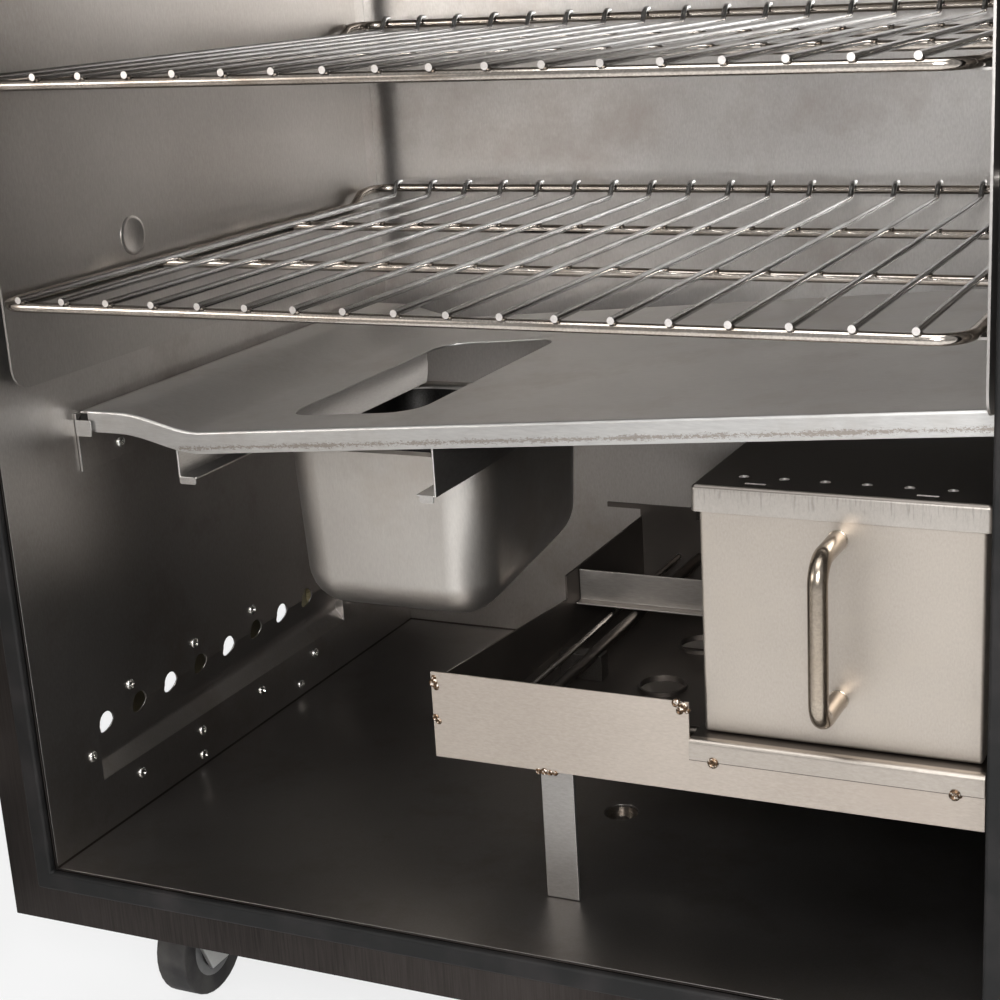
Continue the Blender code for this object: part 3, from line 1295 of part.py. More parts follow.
def make_door():
    """The insulated door, drawn shut and turned open on its hinge axis, with its latch."""
    swing = empty("door_hinge", (HINGE_X, HINGE_Y, 0), root)
    bottom = OUTER_BOTTOM
    top = OUTER_TOP
    skin_back = DOOR_OUTER_Y + DOOR_SKIN_DEPTH
    outer = box((OUTER_LEFT, DOOR_OUTER_Y, bottom), (OUTER_RIGHT, skin_back, top))
    cut(
        outer,
        box(
            (OUTER_LEFT + SHEET, DOOR_OUTER_Y + SHEET, bottom + SHEET),
            (OUTER_RIGHT - SHEET, skin_back + OVERRUN, top - SHEET),
        ),
    )
    hang(outer, "door_outer_skin", swing)
    skin = SHEET + GAP
    wool = box(
        (OUTER_LEFT + skin, DOOR_OUTER_Y + skin, bottom + skin),
        (OUTER_RIGHT - skin, skin_back, top - skin),
    )
    hang(wool, "door_insulation", swing)
    inner = box(
        (OUTER_LEFT, skin_back + GAP, bottom),
        (OUTER_RIGHT, DOOR_INNER_Y - DOOR_INNER_RAISE, top),
    )
    raised = box(
        (DOOR_INNER_MARGIN - GASKET_WIDTH * 2, skin_back + SHEET, DOOR_INNER_MARGIN - GASKET_WIDTH * 2),
        (
            CAVITY_WIDTH - DOOR_INNER_MARGIN + GASKET_WIDTH * 2,
            DOOR_INNER_Y,
            CAVITY_HEIGHT - DOOR_INNER_MARGIN + GASKET_WIDTH * 2,
        ),
    )
    fuse(inner, raised)
    hang(inner, "door_inner_skin", swing)

    for word, z in (("upper", top - HINGE_INSET), ("lower", bottom + HINGE_INSET)):
        make_hinge(word, z, swing)

    case_back = DOOR_OUTER_Y - GAP
    case = box(
        (LATCH_X - LATCH_CASE_WIDTH / 2, case_back - LATCH_CASE_DEPTH, LATCH_Z - LATCH_CASE_HEIGHT / 2),
        (LATCH_X + LATCH_CASE_WIDTH / 2, case_back, LATCH_Z + LATCH_CASE_HEIGHT / 2),
    )
    round_edges(case, LATCH_CASE_DEPTH / 5)
    hang(case, "latch_case", swing)
    make_latch(swing)
    swing.rotation_euler = (0, 0, math.radians(-90))


def make_hinge(word, z, swing):
    """One hinge: a leaf on the cabinet, a leaf on the door and the pin through both knuckles."""
    leaf_low_x = OUTER_LEFT - GAP - HINGE_LEAF
    leaf_high_x = OUTER_LEFT - GAP
    through = 4 * HINGE_HALF_HEIGHT
    for name, side, carrier in (
        ("hinge_frame_" + word, -1, root),
        ("hinge_door_" + word, 1, swing),
    ):
        near = z + side * GAP / 2
        far = z + side * HINGE_HALF_HEIGHT
        low_z, high_z = sorted((near, far))
        if side < 0:
            leaf = box((leaf_low_x, HINGE_Y, low_z), (leaf_high_x, HINGE_LEAF_WIDTH, high_z))
        else:
            leaf = box((leaf_low_x, DOOR_OUTER_Y, low_z), (leaf_high_x, HINGE_Y, high_z))
        knuckle = cylinder(
            (HINGE_X, HINGE_Y, (low_z + high_z) / 2), (0, 0, 1), HINGE_KNUCKLE_RADIUS, high_z - low_z
        )
        fuse(leaf, knuckle)
        if carrier == root:
            pin_top = z + HINGE_HALF_HEIGHT + GAP
            pin_centre = (HINGE_X, HINGE_Y, (low_z + pin_top) / 2)
            head_centre = (HINGE_X, HINGE_Y, pin_top + HINGE_PIN_RADIUS / 2)
            head_radius = HINGE_KNUCKLE_RADIUS - 2 * GAP
            pin_length = pin_top + WELD_SINK - low_z
            fuse(
                leaf,
                cylinder(pin_centre, (0, 0, 1), HINGE_PIN_RADIUS, pin_length),
                cylinder(head_centre, (0, 0, 1), head_radius, HINGE_PIN_RADIUS),
            )
            place(leaf, name, root)
        else:
            cut(leaf, cylinder((HINGE_X, HINGE_Y, z), (0, 0, 1), HINGE_PIN_RADIUS + GAP, through))
            hang(leaf, name, carrier)


def make_latch(swing):
    """The latch lever on the door and the keeper that it turns behind, on the cabinet's side."""
    local = Vector((LATCH_X, ARM_BACK_Y, LATCH_Z))
    turn = empty("latch_turn", local, root)
    middle_y = (ARM_BACK_Y + ARM_FRONT_Y) / 2
    arm = box(
        (LATCH_X - LATCH_ARM_WIDTH / 2, ARM_FRONT_Y, LATCH_Z - LATCH_HANDLE_LENGTH),
        (LATCH_X + LATCH_ARM_WIDTH / 2, ARM_BACK_Y, LATCH_Z + LATCH_ARM_REACH),
    )
    hub = cylinder((LATCH_X, middle_y, LATCH_Z), (0, 1, 0), LATCH_HUB_RADIUS, LATCH_ARM_THICKNESS)
    grip = cylinder(
        (LATCH_X, ARM_FRONT_Y - LATCH_GRIP_OFFSET, LATCH_Z - LATCH_HANDLE_LENGTH * 0.65),
        (0, 0, 1),
        LATCH_GRIP_RADIUS,
        LATCH_HANDLE_LENGTH * 0.6,
        20,
    )
    foot = LATCH_GRIP_OFFSET + LATCH_ARM_THICKNESS / 2
    stud = cylinder(
        (LATCH_X, ARM_FRONT_Y + LATCH_ARM_THICKNESS / 2 - foot / 2, LATCH_Z - LATCH_HANDLE_LENGTH * 0.65),
        (0, 1, 0),
        LATCH_GRIP_RADIUS * 0.7,
        foot,
        12,
    )
    fuse(arm, hub, stud, grip)
    hang(arm, "latch_lever", turn)
    turn.location = local - Vector(swing.location)
    turn.parent = swing

    side = OUTER_RIGHT + GAP
    outer = side + KEEPER_THICKNESS
    low = LATCH_Z - KEEPER_HEIGHT / 2
    keeper = box((side, 2 * SHEET, low), (outer, KEEPER_BASE, LATCH_Z + KEEPER_HEIGHT / 2))
    reach = box(
        (side + KEEPER_RELIEF, KEEPER_LIP_Y - SHEET, low),
        (outer, KEEPER_BASE / 2, low + KEEPER_BAR),
    )
    lip = box(
        (side + KEEPER_RELIEF, KEEPER_LIP_Y - 2 * SHEET, low),
        (KEEPER_END_X, KEEPER_LIP_Y, low + KEEPER_LIP_HEIGHT),
    )
    fuse(keeper, reach, lip)
    place(keeper, "latch_keeper", root)


def make_casters():
    """Four swivel casters under the casing, each a fork with its axle and a wheel."""
    xs = {"left": OUTER_LEFT + CASTER_INSET, "right": OUTER_RIGHT - CASTER_INSET}
    ys = {"front": CASTER_INSET, "rear": OUTER_BACK - CASTER_INSET}
    ground = OUTER_BOTTOM - CASTER_HEIGHT
    hub_z = ground + WHEEL_RADIUS
    plate_top = OUTER_BOTTOM - GAP
    plate_low = plate_top - CASTER_PLATE_THICKNESS
    crown_low = plate_low - SWIVEL_HEIGHT
    inner = WHEEL_WIDTH / 2 + FORK_CLEAR
    for row, y in ys.items():
        for side, x in xs.items():
            swivel = empty("caster_%s_%s_swivel" % (row, side), (x, y, plate_low), root)
            axle_y = y + CASTER_TRAIL
            top_plate = box(
                (x - CASTER_PLATE / 2, y - CASTER_PLATE / 2, plate_low),
                (x + CASTER_PLATE / 2, y + CASTER_PLATE / 2, plate_top),
            )
            place(top_plate, "caster_plate_%s_%s" % (row, side), root)
            head_top = plate_low - GAP
            head = cylinder(
                (x, y, (head_top + crown_low) / 2), (0, 0, 1), SWIVEL_RADIUS, head_top - crown_low
            )
            width = 2 * (inner + FORK_THICKNESS)
            outline = [
                (y - FORK_WIDTH / 2, crown_low + WELD_SINK),
                (y - FORK_WIDTH / 2, crown_low - 2 * FORK_THICKNESS),
                (axle_y - FORK_WIDTH / 2, hub_z - FORK_WIDTH / 2),
                (axle_y + FORK_WIDTH / 2, hub_z - FORK_WIDTH / 2),
                (axle_y + FORK_WIDTH / 2, crown_low + WELD_SINK),
            ]
            fork = plate([outline], width, "YZ", x - width / 2)
            cut(
                fork,
                box(
                    (x - inner, y - WHEEL_RADIUS - OVERRUN, ground - OVERRUN),
                    (x + inner, axle_y + WHEEL_RADIUS + OVERRUN, crown_low - FORK_THICKNESS),
                ),
            )
            axle_length = 2 * (inner + 2 * FORK_THICKNESS)
            fuse(fork, head, cylinder((x, axle_y, hub_z), (1, 0, 0), AXLE_RADIUS, axle_length, 16))
            hang(fork, "caster_fork_%s_%s" % (row, side), swivel)
            spin_place = Vector((x, axle_y, hub_z))
            spin = empty("caster_%s_%s_spin" % (row, side), spin_place, root)
            wheel = cylinder(spin_place, (1, 0, 0), WHEEL_RADIUS, WHEEL_WIDTH, 32)
            cut(wheel, cylinder(spin_place, (1, 0, 0), AXLE_RADIUS + GAP, 2 * WHEEL_WIDTH, 16))
            hang(wheel, "caster_wheel_%s_%s" % (row, side), spin)
            spin.location = spin_place - Vector(swivel.location)
            spin.parent = swivel


make_shell()
make_liner()
make_insulation()
make_front()
make_rack("rack_left", False)
make_rack("rack_right", True)
for grate_name, grate_level in zip(("grate_lower", "grate_upper"), GRATE_LEVEL_SHARES):
    make_grate(grate_name, grate_level)
make_brackets()
make_baffle()
make_tray()
make_tray_fittings()
make_element()
make_wood_box()
make_controls()
make_vent()
make_door()
make_casters()
bpy.context.view_layer.update()
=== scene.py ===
import math

import bmesh
import bpy
from mathutils import Matrix, Vector


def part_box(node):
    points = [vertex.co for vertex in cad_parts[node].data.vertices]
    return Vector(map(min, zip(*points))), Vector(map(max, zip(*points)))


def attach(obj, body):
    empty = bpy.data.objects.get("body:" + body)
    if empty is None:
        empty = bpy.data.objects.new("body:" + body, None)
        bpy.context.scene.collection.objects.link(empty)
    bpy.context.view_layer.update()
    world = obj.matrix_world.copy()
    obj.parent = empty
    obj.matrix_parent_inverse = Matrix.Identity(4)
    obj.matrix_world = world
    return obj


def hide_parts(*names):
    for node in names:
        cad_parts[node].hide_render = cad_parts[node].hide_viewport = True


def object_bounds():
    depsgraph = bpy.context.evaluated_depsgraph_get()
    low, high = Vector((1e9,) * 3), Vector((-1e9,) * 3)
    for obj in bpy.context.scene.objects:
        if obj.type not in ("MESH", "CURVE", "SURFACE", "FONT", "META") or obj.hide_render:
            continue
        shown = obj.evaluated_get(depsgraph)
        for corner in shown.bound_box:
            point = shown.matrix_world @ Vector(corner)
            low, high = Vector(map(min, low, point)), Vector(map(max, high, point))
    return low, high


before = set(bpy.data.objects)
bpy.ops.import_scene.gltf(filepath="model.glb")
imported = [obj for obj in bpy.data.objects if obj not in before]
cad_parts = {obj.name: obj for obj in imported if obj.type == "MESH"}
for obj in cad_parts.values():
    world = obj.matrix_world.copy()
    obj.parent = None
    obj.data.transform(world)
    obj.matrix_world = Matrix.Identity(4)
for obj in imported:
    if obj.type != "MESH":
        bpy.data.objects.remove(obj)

cad_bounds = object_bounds()

# The cavity's own frame: x from its left wall, y from the front plane, z from its floor.
# The offset takes a place in it to the world, as the CAD does.
CAVITY = Vector((-0.2831, 0.08625, 0.138))


def at(x, y, z):
    return CAVITY + Vector((x, y, z))


def placed(name, data):
    """Put a lamp, camera, curve or mesh in the scene as an object."""
    made = bpy.data.objects.new(name, data)
    bpy.context.scene.collection.objects.link(made)
    return made


# Camera: the photograph looks down into the open cabinet from the front right.
# It was fitted to the grate's wires and the sheet edges.
EYE = at(0.7827, -0.8774, 0.5678)
LOOK = Vector((-0.3935, 0.8703, -0.2964))
ACROSS = Vector((0.9162, 0.3979, -0.0482))
UPWARD = Vector((-0.0760, 0.2905, 0.9539))
camera_data = bpy.data.cameras.new("photo_camera")
camera = placed("photo_camera", camera_data)
turn = Matrix((ACROSS, UPWARD, -LOOK)).transposed().to_4x4()
camera.matrix_world = Matrix.Translation(EYE) @ turn
camera_data.sensor_width = 36
camera_data.lens = 66.66
camera_data.shift_x = -0.0655
camera_data.shift_y = 0.0296
camera_data.clip_start = 0.01
bpy.context.scene.camera = camera
bpy.context.scene.view_settings.view_transform = "Standard"


# Studio floor and lamps: a pale floor and soft light from above and in front.
# Camera, mirror and glass rays see the pale ground; the floor keeps the shadow.
class Shade:
    """A shader socket that takes part in Python arithmetic."""

    def __init__(self, tree, socket):
        self.tree = tree
        self.socket = socket

    def math(self, operation, other=0.0, flipped=False):
        node = self.tree.nodes.new("ShaderNodeMath")
        node.operation = operation
        pair = (other, self) if flipped else (self, other)
        for place, value in zip(node.inputs, pair):
            if isinstance(value, Shade):
                self.tree.links.new(value.socket, place)
            else:
                place.default_value = value
        return Shade(self.tree, node.outputs[0])

    def __add__(self, other):
        return self.math("ADD", other)

    def __radd__(self, other):
        return self.math("ADD", other, True)

    def __sub__(self, other):
        return self.math("SUBTRACT", other)

    def __rsub__(self, other):
        return self.math("SUBTRACT", other, True)

    def __mul__(self, other):
        return self.math("MULTIPLY", other)

    def __rmul__(self, other):
        return self.math("MULTIPLY", other, True)

    def __truediv__(self, other):
        return self.math("DIVIDE", other)


class Finish:
    """A material under construction: its node tree and its Principled shader."""

    def __init__(self, name):
        self.material = bpy.data.materials.new(name)
        self.material.use_nodes = True
        self.tree = self.material.node_tree
        self.shader = self.tree.nodes["Principled BSDF"]

    def node(self, kind, settings=None, **sockets):
        """Add a node of a type with its settings, then values or links for its sockets."""
        made = self.tree.nodes.new("ShaderNode" + kind)
        for key, value in (settings or {}).items():
            if key == "stops":
                ramp = made.color_ramp
                for i, (position, colour) in enumerate(value):
                    stop = ramp.elements[i] if i < 2 else ramp.elements.new(position)
                    stop.position = position
                    stop.color = colour
            else:
                setattr(made, key, value)
        for key, value in sockets.items():
            name = key.replace("_", " ")
            socket = next(s for s in made.inputs if s.name == name and s.enabled)
            self.feed(socket, value)
        output = next(s for s in made.outputs if s.enabled)
        return Shade(self.tree, output)

    def feed(self, socket, value):
        if isinstance(value, Shade):
            self.tree.links.new(value.socket, socket)
        else:
            socket.default_value = value

    def set(self, **sockets):
        """Set values or links on the Principled shader."""
        for key, value in sockets.items():
            self.feed(self.shader.inputs[key.replace("_", " ")], value)

    def coordinates(self, scale=(1, 1, 1)):
        """Object coordinates, stretched."""
        place = self.tree.nodes.new("ShaderNodeTexCoord")
        source = Shade(self.tree, place.outputs["Object"])
        return self.node("Mapping", Vector=source, Scale=scale)

    def along(self, axis):
        """One Object coordinate: 0, 1 or 2 for X, Y or Z."""
        split = self.node("SeparateXYZ", Vector=self.coordinates())
        return Shade(self.tree, split.socket.node.outputs[axis])

    def noise(self, scale, stretch=(1, 1, 1), detail=3.0, roughness=0.5):
        """A noise between 0 and 1 on Object coordinates."""
        place = self.coordinates(stretch)
        return self.node("TexNoise", Vector=place, Scale=scale, Detail=detail, Roughness=roughness)

    def ramp(self, factor, *stops):
        """A colour ramp over a factor; a stop is a position and a colour or grey."""
        full = [(p, (c, c, c, 1) if isinstance(c, float) else (*c, 1)) for p, c in stops]
        return self.node("ValToRGB", {"stops": full}, Fac=factor)

    def mix(self, factor, first, second):
        """Mix two colours."""
        made = self.tree.nodes.new("ShaderNodeMix")
        made.data_type = "RGBA"
        self.feed(made.inputs[0], factor)
        for socket, value in ((made.inputs[6], first), (made.inputs[7], second)):
            self.feed(socket, value if isinstance(value, Shade) else (*value, 1))
        return Shade(self.tree, made.outputs[2])

    def bump(self, height, strength, distance):
        """Feed the shader's Normal with a bump."""
        self.set(Normal=self.node("Bump", Height=height, Strength=strength, Distance=distance))


def rays(tree):
    """Masks of the rays from the camera, off gloss and through glass."""
    path = tree.nodes.new("ShaderNodeLightPath")
    kinds = ("Camera", "Glossy", "Transmission")
    return [Shade(tree, path.outputs["Is " + kind + " Ray"]) for kind in kinds]


def floor_finish():
    """A matt pale floor with an even glow where the camera sees it."""
    finish = Finish("studio_floor")
    finish.set(Base_Color=(0.90, 0.90, 0.90, 1), Roughness=0.9)
    tree = finish.tree
    seen, mirrored, through = rays(tree)
    factor = (seen + through) * 0.84 + mirrored * 0.10
    glow = finish.node("Emission", Color=(1, 1, 1, 1), Strength=0.92)
    blend = tree.nodes.new("ShaderNodeMixShader")
    sources = (factor.socket, finish.shader.outputs[0], glow.socket)
    for source, socket in zip(sources, blend.inputs):
        tree.links.new(source, socket)
    tree.links.new(blend.outputs[0], tree.nodes["Material Output"].inputs["Surface"])
    return finish.material


def deselect():
    bpy.ops.object.select_all(action="DESELECT")


deselect()
bpy.ops.mesh.primitive_plane_add(size=60, location=(0, 0, cad_bounds[0][2] - 0.0005))
floor = bpy.context.object
floor.name = "studio_floor"
floor.data.materials.append(floor_finish())

world = bpy.data.worlds.new("studio")
bpy.context.scene.world = world
world.use_nodes = True
background = world.node_tree.nodes["Background"]
background.inputs["Color"].default_value = (1, 1, 1, 1)
seen, mirrored, through = rays(world.node_tree)
ground = (seen + through) * 0.53 + mirrored * 0.12 + 0.28
world.node_tree.links.new(ground.socket, background.inputs["Strength"])


def area_lamp(name, place, target, size, power):
    """A soft square lamp that faces a point."""
    data = bpy.data.lights.new(name, "AREA")
    data.shape = "SQUARE"
    data.size = size
    data.energy = power
    lamp = placed(name, data)
    lamp.location = place
    aim = Vector(target) - Vector(place)
    lamp.rotation_euler = aim.to_track_quat("-Z", "Y").to_euler()


area_lamp("key_lamp", EYE + Vector((0.0, -0.10, 0.16)), at(0.35, 0.2, 0.25), 0.30, 16)
area_lamp("front_lamp", (0.9, -2.6, 1.6), at(0.3, 0.2, 0.3), 1.6, 16)
area_lamp("top_lamp", (0.0, -0.6, 2.8), at(0.3, 0.2, 0.3), 1.8, 40)
area_lamp("back_lamp", (-1.8, 2.2, 2.0), (0, 0, 0.5), 1.6, 30)


# Outer casing: one sheet of brushed stainless folded into a box, closed at the front by a
# sheet ring. Mineral wool fills the wall behind it, and pop rivets hold the back's folds.
BODY = "cabinet"
GAUGE = 0.0015
CAVITY_SIZE = Vector((0.617, 0.504, 0.760))
WALL = 0.040


def steel(name, dark, pale, roughness, grain=(1, 1, 1), soot=None, bump=0.10, stained=None):
    """Sheet steel: two tones in soft clouds, a fine grain, soot in patches, and a stain of its own
    that a function gives as a mask and a tone."""
    finish = Finish(name)
    cloud = finish.noise(6.0)
    fine = finish.noise(900.0, grain, roughness=0.7)
    colour = finish.ramp(cloud * 0.55 + fine * 0.45, (0.32, dark), (0.68, pale))
    if soot:
        patch = finish.noise(13.0, detail=6.0, roughness=0.72)
        colour = finish.mix(finish.ramp(patch, (0.50, 0.0), (0.74, 0.7)), colour, soot)
    if stained:
        mask, tone = stained(finish)
        colour = finish.mix(mask, colour, tone)
    finish.set(Base_Color=colour, Metallic=1.0)
    finish.set(Roughness=(cloud - 0.5) * 0.10 + (fine - 0.5) * 0.10 + roughness)
    finish.bump(fine, bump, 0.0001)
    return finish.material


def grained(name, scale, detail, stops, roughness, swing, bump, depth, **fixed):
    """A finish with one noise behind its tones, its roughness and its bump."""
    finish = Finish(name)
    grain = finish.noise(scale, fixed.pop("stretch", (1, 1, 1)), detail)
    finish.set(Base_Color=finish.ramp(grain, *stops), **fixed)
    finish.set(Roughness=(grain - 0.5) * swing + roughness)
    finish.bump(grain, bump, depth)
    return finish.material


def wool(name):
    """Loose mineral wool: yellow fibres with darker hollows."""
    tones = ((0.3, (0.40, 0.32, 0.15)), (0.7, (0.78, 0.70, 0.44)))
    return grained(name, 420.0, 5.0, tones, 0.95, 0.0, 0.8, 0.002, stretch=(1, 1, 5))


def pick(piece):
    """Select one piece alone and make it active."""
    deselect()
    piece.select_set(True)
    bpy.context.view_layer.objects.active = piece


def edit(piece, mode="EDGE"):
    """Open one piece in edit mode with nothing selected."""
    pick(piece)
    bpy.ops.object.mode_set(mode="EDIT")
    bpy.ops.mesh.select_mode(type=mode)
    bpy.ops.mesh.select_all(action="DESELECT")


def leave():
    bpy.ops.object.mode_set(mode="OBJECT")


def apply(piece, kind, **settings):
    """Add a modifier with its settings and apply it."""
    pick(piece)
    modifier = piece.modifiers.new(kind.lower(), kind)
    for key, value in settings.items():
        setattr(modifier, key, value)
    bpy.ops.object.modifier_apply(modifier=modifier.name)


def soften(piece, width, segments=2, angle=40, smooth=35):
    """Round the sharp edges and shade the rounds smooth."""
    limit = math.radians(angle)
    apply(piece, "BEVEL", width=width, segments=segments, limit_method="ANGLE", angle_limit=limit)
    bpy.ops.object.shade_smooth_by_angle(angle=math.radians(smooth))
    apply(piece, "WEIGHTED_NORMAL", keep_sharp=True, weight=80)


def settle(piece, body, finish, *nodes):
    """Give a piece its finish and its body; it stands for the CAD nodes that are named."""
    piece.data.materials.clear()
    piece.data.materials.append(finish)
    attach(piece, body)
    if nodes:
        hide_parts(*nodes)
    return piece


def refinish(piece, finish, test):
    """Give the faces that pass a test a finish of their own."""
    piece.data.materials.append(finish)
    for part in piece.data.polygons:
        if test(part):
            part.material_index = 1


def traced(name, node):
    """A welded copy of a CAD node's mesh with its flat faces made whole."""
    piece = placed(name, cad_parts[node].data.copy())
    piece.data.name = name
    edit(piece)
    bpy.ops.mesh.customdata_custom_splitnormals_clear()
    bpy.ops.mesh.select_all(action="SELECT")
    bpy.ops.mesh.remove_doubles(threshold=0.00001)
    bpy.ops.mesh.dissolve_limited(angle_limit=math.radians(0.5))
    leave()
    return piece


def dress(name, node, body, finish, width, segments=3, angle=40):
    """A welded copy of a CAD node with its folds and edges rounded, shown in its place."""
    piece = traced(name, node)
    soften(piece, width, segments, angle)
    return settle(piece, body, finish, node)


def refill(node, finish):
    """Give a CAD node that stays in view its finish."""
    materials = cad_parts[node].data.materials
    materials.clear()
    materials.append(finish)


def copied(pattern, name, place, facing):
    """A copy of a small part with its own mesh, turned from +Z to its facing."""
    mesh = pattern.data.copy()
    turn = Vector((0, 0, 1)).rotation_difference(Vector(facing)).to_matrix().to_4x4()
    mesh.transform(Matrix.Translation(place) @ turn)
    return placed(name, mesh)


def choose(piece, test, kind="edges"):
    """Select the edges, faces or vertices whose middle, in the cavity's frame, passes a test."""
    mesh = bmesh.from_edit_mesh(piece.data)
    for part in getattr(mesh, kind):
        points = [part.co] if kind == "verts" else [v.co for v in part.verts]
        middle = sum(points, Vector()) / len(points) - CAVITY
        spread = max((a - b).length for a in points for b in points)
        part.select_set(bool(test(middle, part)) and (kind == "verts" or spread > 1e-7))
    mesh.select_flush_mode()
    bmesh.update_edit_mesh(piece.data)


def joined(name, pieces):
    """Several meshes joined into one piece."""
    deselect()
    for piece in pieces:
        piece.select_set(True)
    bpy.context.view_layer.objects.active = pieces[0]
    if len(pieces) > 1:
        bpy.ops.object.join()
    pieces[0].name = name
    return pieces[0]


def cylinder(sides, radius, depth, place, ends="NGON"):
    """A cylinder along Z, as a start or a cutter."""
    deselect()
    bpy.ops.mesh.primitive_cylinder_add(
        vertices=sides, radius=radius, depth=depth, end_fill_type=ends, location=place
    )
    bpy.ops.object.transform_apply()
    return bpy.context.object


def turned(name, radius, height, rings, sides=24):
    """A small turned part on +Z: a cylinder whose top face is inset and lifted ring by ring."""
    piece = cylinder(sides, radius, height, (0, 0, height / 2))
    piece.name = name
    edit(piece, "FACE")
    choose(piece, lambda m, f: f.normal.z > 0.9, "faces")
    for inset, lift in rings:
        bpy.ops.mesh.inset(thickness=inset, depth=lift)
    leave()
    bpy.ops.object.shade_smooth_by_angle(angle=math.radians(40))
    return piece


CASING_STEEL = steel(
    "brushed_casing", (0.53, 0.52, 0.51), (0.63, 0.62, 0.61), 0.31, (1, 1, 0.015), None, 0.06
)
RING_STEEL = steel(
    "front_ring_steel", (0.020, 0.017, 0.016), (0.060, 0.052, 0.048), 0.50, (1, 1, 0.03)
)
RIVET_STEEL = steel("rivet_steel", (0.60, 0.59, 0.58), (0.75, 0.74, 0.73), 0.30)
dress("casing", "outer_shell", BODY, CASING_STEEL, 0.0012)
dress("front_ring", "front_frame", BODY, RING_STEEL, 0.0004, 2)
refill("insulation", wool("wall_wool"))

RIVET_PITCH = 0.092
rivet_rings = ((0.0006, 0.0004), (0.0009, 0.0003), (0.0009, 0.0))
rivet = turned("rivet_pattern", 0.0032, 0.0004, rivet_rings, 16)
side_rivets = []
for side, facing in ((-WALL, -1), (CAVITY_SIZE.x + WALL, 1)):
    for i in range(9):
        spot = at(side, CAVITY_SIZE.y + WALL - 0.012, RIVET_PITCH * i - 0.028)
        side_rivets.append(copied(rivet, "side_rivet", spot, (facing, 0, 0)))
settle(joined("casing_rivets", side_rivets), BODY, RIVET_STEEL)


# Inner liner: thin stainless sheet, dulled by heat and a brown smoke film, with painted shade low in
# the cavity and in its creases. A trough is pressed into its left wall for the air holes, and pan-head
# screws hold it to the frame.
def smoked(finish):
    """Darker towards the floor, partly a smoke film and partly painted shade, and painted shade along
    the crease where the walls stand on it.
    """
    height = finish.along(2) - CAVITY.z
    # painted shade mixed with the smoke film: darker towards the floor
    rise = (0.34 - height) / 0.32 + finish.noise(5.0) * 0.3 - 0.15
    low_film_and_shade = finish.ramp(rise, (0.0, 0.0), (1.0, 0.55))
    low, high = at(0, 0, 0), at(*CAVITY_SIZE)
    walls = ((0, low.x), (0, high.x), (1, high.y))
    left, right, rear = ((finish.along(i) - wall).math("ABSOLUTE") for i, wall in walls)
    nearest = left.math("MINIMUM", right).math("MINIMUM", rear)
    # painted shade along the creases where the walls meet the floor
    crease_shade = (nearest + height.math("ABSOLUTE")).math("LESS_THAN", 0.0011)
    return low_film_and_shade.math("MAXIMUM", crease_shade), (0.070, 0.058, 0.052)


def span(edge, axis):
    """An edge's length along X, Y or Z."""
    return abs(edge.verts[0].co[axis] - edge.verts[1].co[axis])


def bend(piece, test, radius, segments=4, corners=False):
    """Give the chosen folds a bend radius, or round the chosen corners of a flat sheet."""
    edit(piece, "VERT" if corners else "EDGE")
    choose(piece, test, "verts" if corners else "edges")
    kind = "VERTICES" if corners else "EDGES"
    bpy.ops.mesh.bevel(offset=radius, segments=segments, profile=0.5, affect=kind)
    leave()


def block(name, low, high, origin=CAVITY):
    """A box between two places, as a start or a cutter."""
    low, high = origin + Vector(low), origin + Vector(high)
    deselect()
    bpy.ops.mesh.primitive_cube_add(size=1, location=(low + high) / 2)
    piece = bpy.context.object
    piece.dimensions = high - low
    bpy.ops.object.transform_apply()
    piece.name = name
    return piece


def cut(piece, cutter):
    """Take a cutter out of a piece and remove it."""
    apply(piece, "BOOLEAN", operation="DIFFERENCE", object=cutter, solver="EXACT")
    bpy.data.objects.remove(cutter)


WALL_TONES = (0.40, 0.38, 0.36), (0.56, 0.54, 0.52)
WALL_DIRT = (0.34, 0.30, 0.27)
# The liner's finish paints shade towards the floor and along its creases.
WALL_STEEL = steel("smoked_and_shaded_liner", *WALL_TONES, 0.36, (1, 1, 0.3), WALL_DIRT, 0.03, smoked)
SCREW_STEEL = steel("screw_steel", (0.55, 0.54, 0.52), (0.78, 0.77, 0.75), 0.22)
TROUGH_LOW = 0.037
TROUGH_FOLDS = (0.050, 0.056)
TROUGH_PRESS = 0.008


def runs_back(edge):
    return span(edge, 1) > 0.25 and span(edge, 2) < 1e-4


def trough_foot(middle, edge):
    """The trough's lower fold, in the wall's plane."""
    return runs_back(edge) and abs(middle.x) < 1e-4 and abs(middle.z - TROUGH_LOW) < 0.001


def trough_fold(middle, edge):
    """The folds of the trough's floor."""
    pressed = abs(middle.x + TROUGH_PRESS) < 1e-4
    return runs_back(edge) and pressed and min(abs(middle.z - z) for z in TROUGH_FOLDS) < 0.001


liner = traced("liner", "inner_liner")
bend(liner, trough_foot, 0.0045)
bend(liner, trough_fold, 0.0024)
soften(liner, 0.0012, 3, 14)
settle(liner, BODY, WALL_STEEL, "inner_liner")

screw_rings = ((0.0005, 0.0006), (0.0010, 0.0005), (0.0008, 0.0001))
screw = turned("screw_pattern", 0.0040, 0.0008, screw_rings, 24)
for long, wide in ((0.0022, 0.0004), (0.0004, 0.0022)):
    cut(screw, block("slot", (-long, -wide, 0.0009), (long, wide, 0.0035), Vector()))

# Left wall screws by their depth and height, then the ones that hold the front ring.
WALL_SCREWS = (
    ((0.100, 0.094), (0.179, 0.096), (0.257, 0.095), (0.051, 0.060), (0.101, 0.026), (0.177, 0.027))
    + ((0.259, 0.027), (0.340, 0.028), (0.175, 0.008), (0.315, 0.010), (0.120, 0.265))
)
wall_screws = []
for i, (y, z) in enumerate(WALL_SCREWS):
    made = copied(screw, "wall_screw", (0, 0, 0), (1, 0, 0))
    spot = Matrix.Translation(at(0.0018 if z > 0.2 else 0, y, z))
    made.data.transform(spot @ Matrix.Rotation(0.7 * i, 4, "X"))
    wall_screws.append(made)
settle(joined("liner_screws", wall_screws), BODY, SCREW_STEEL)

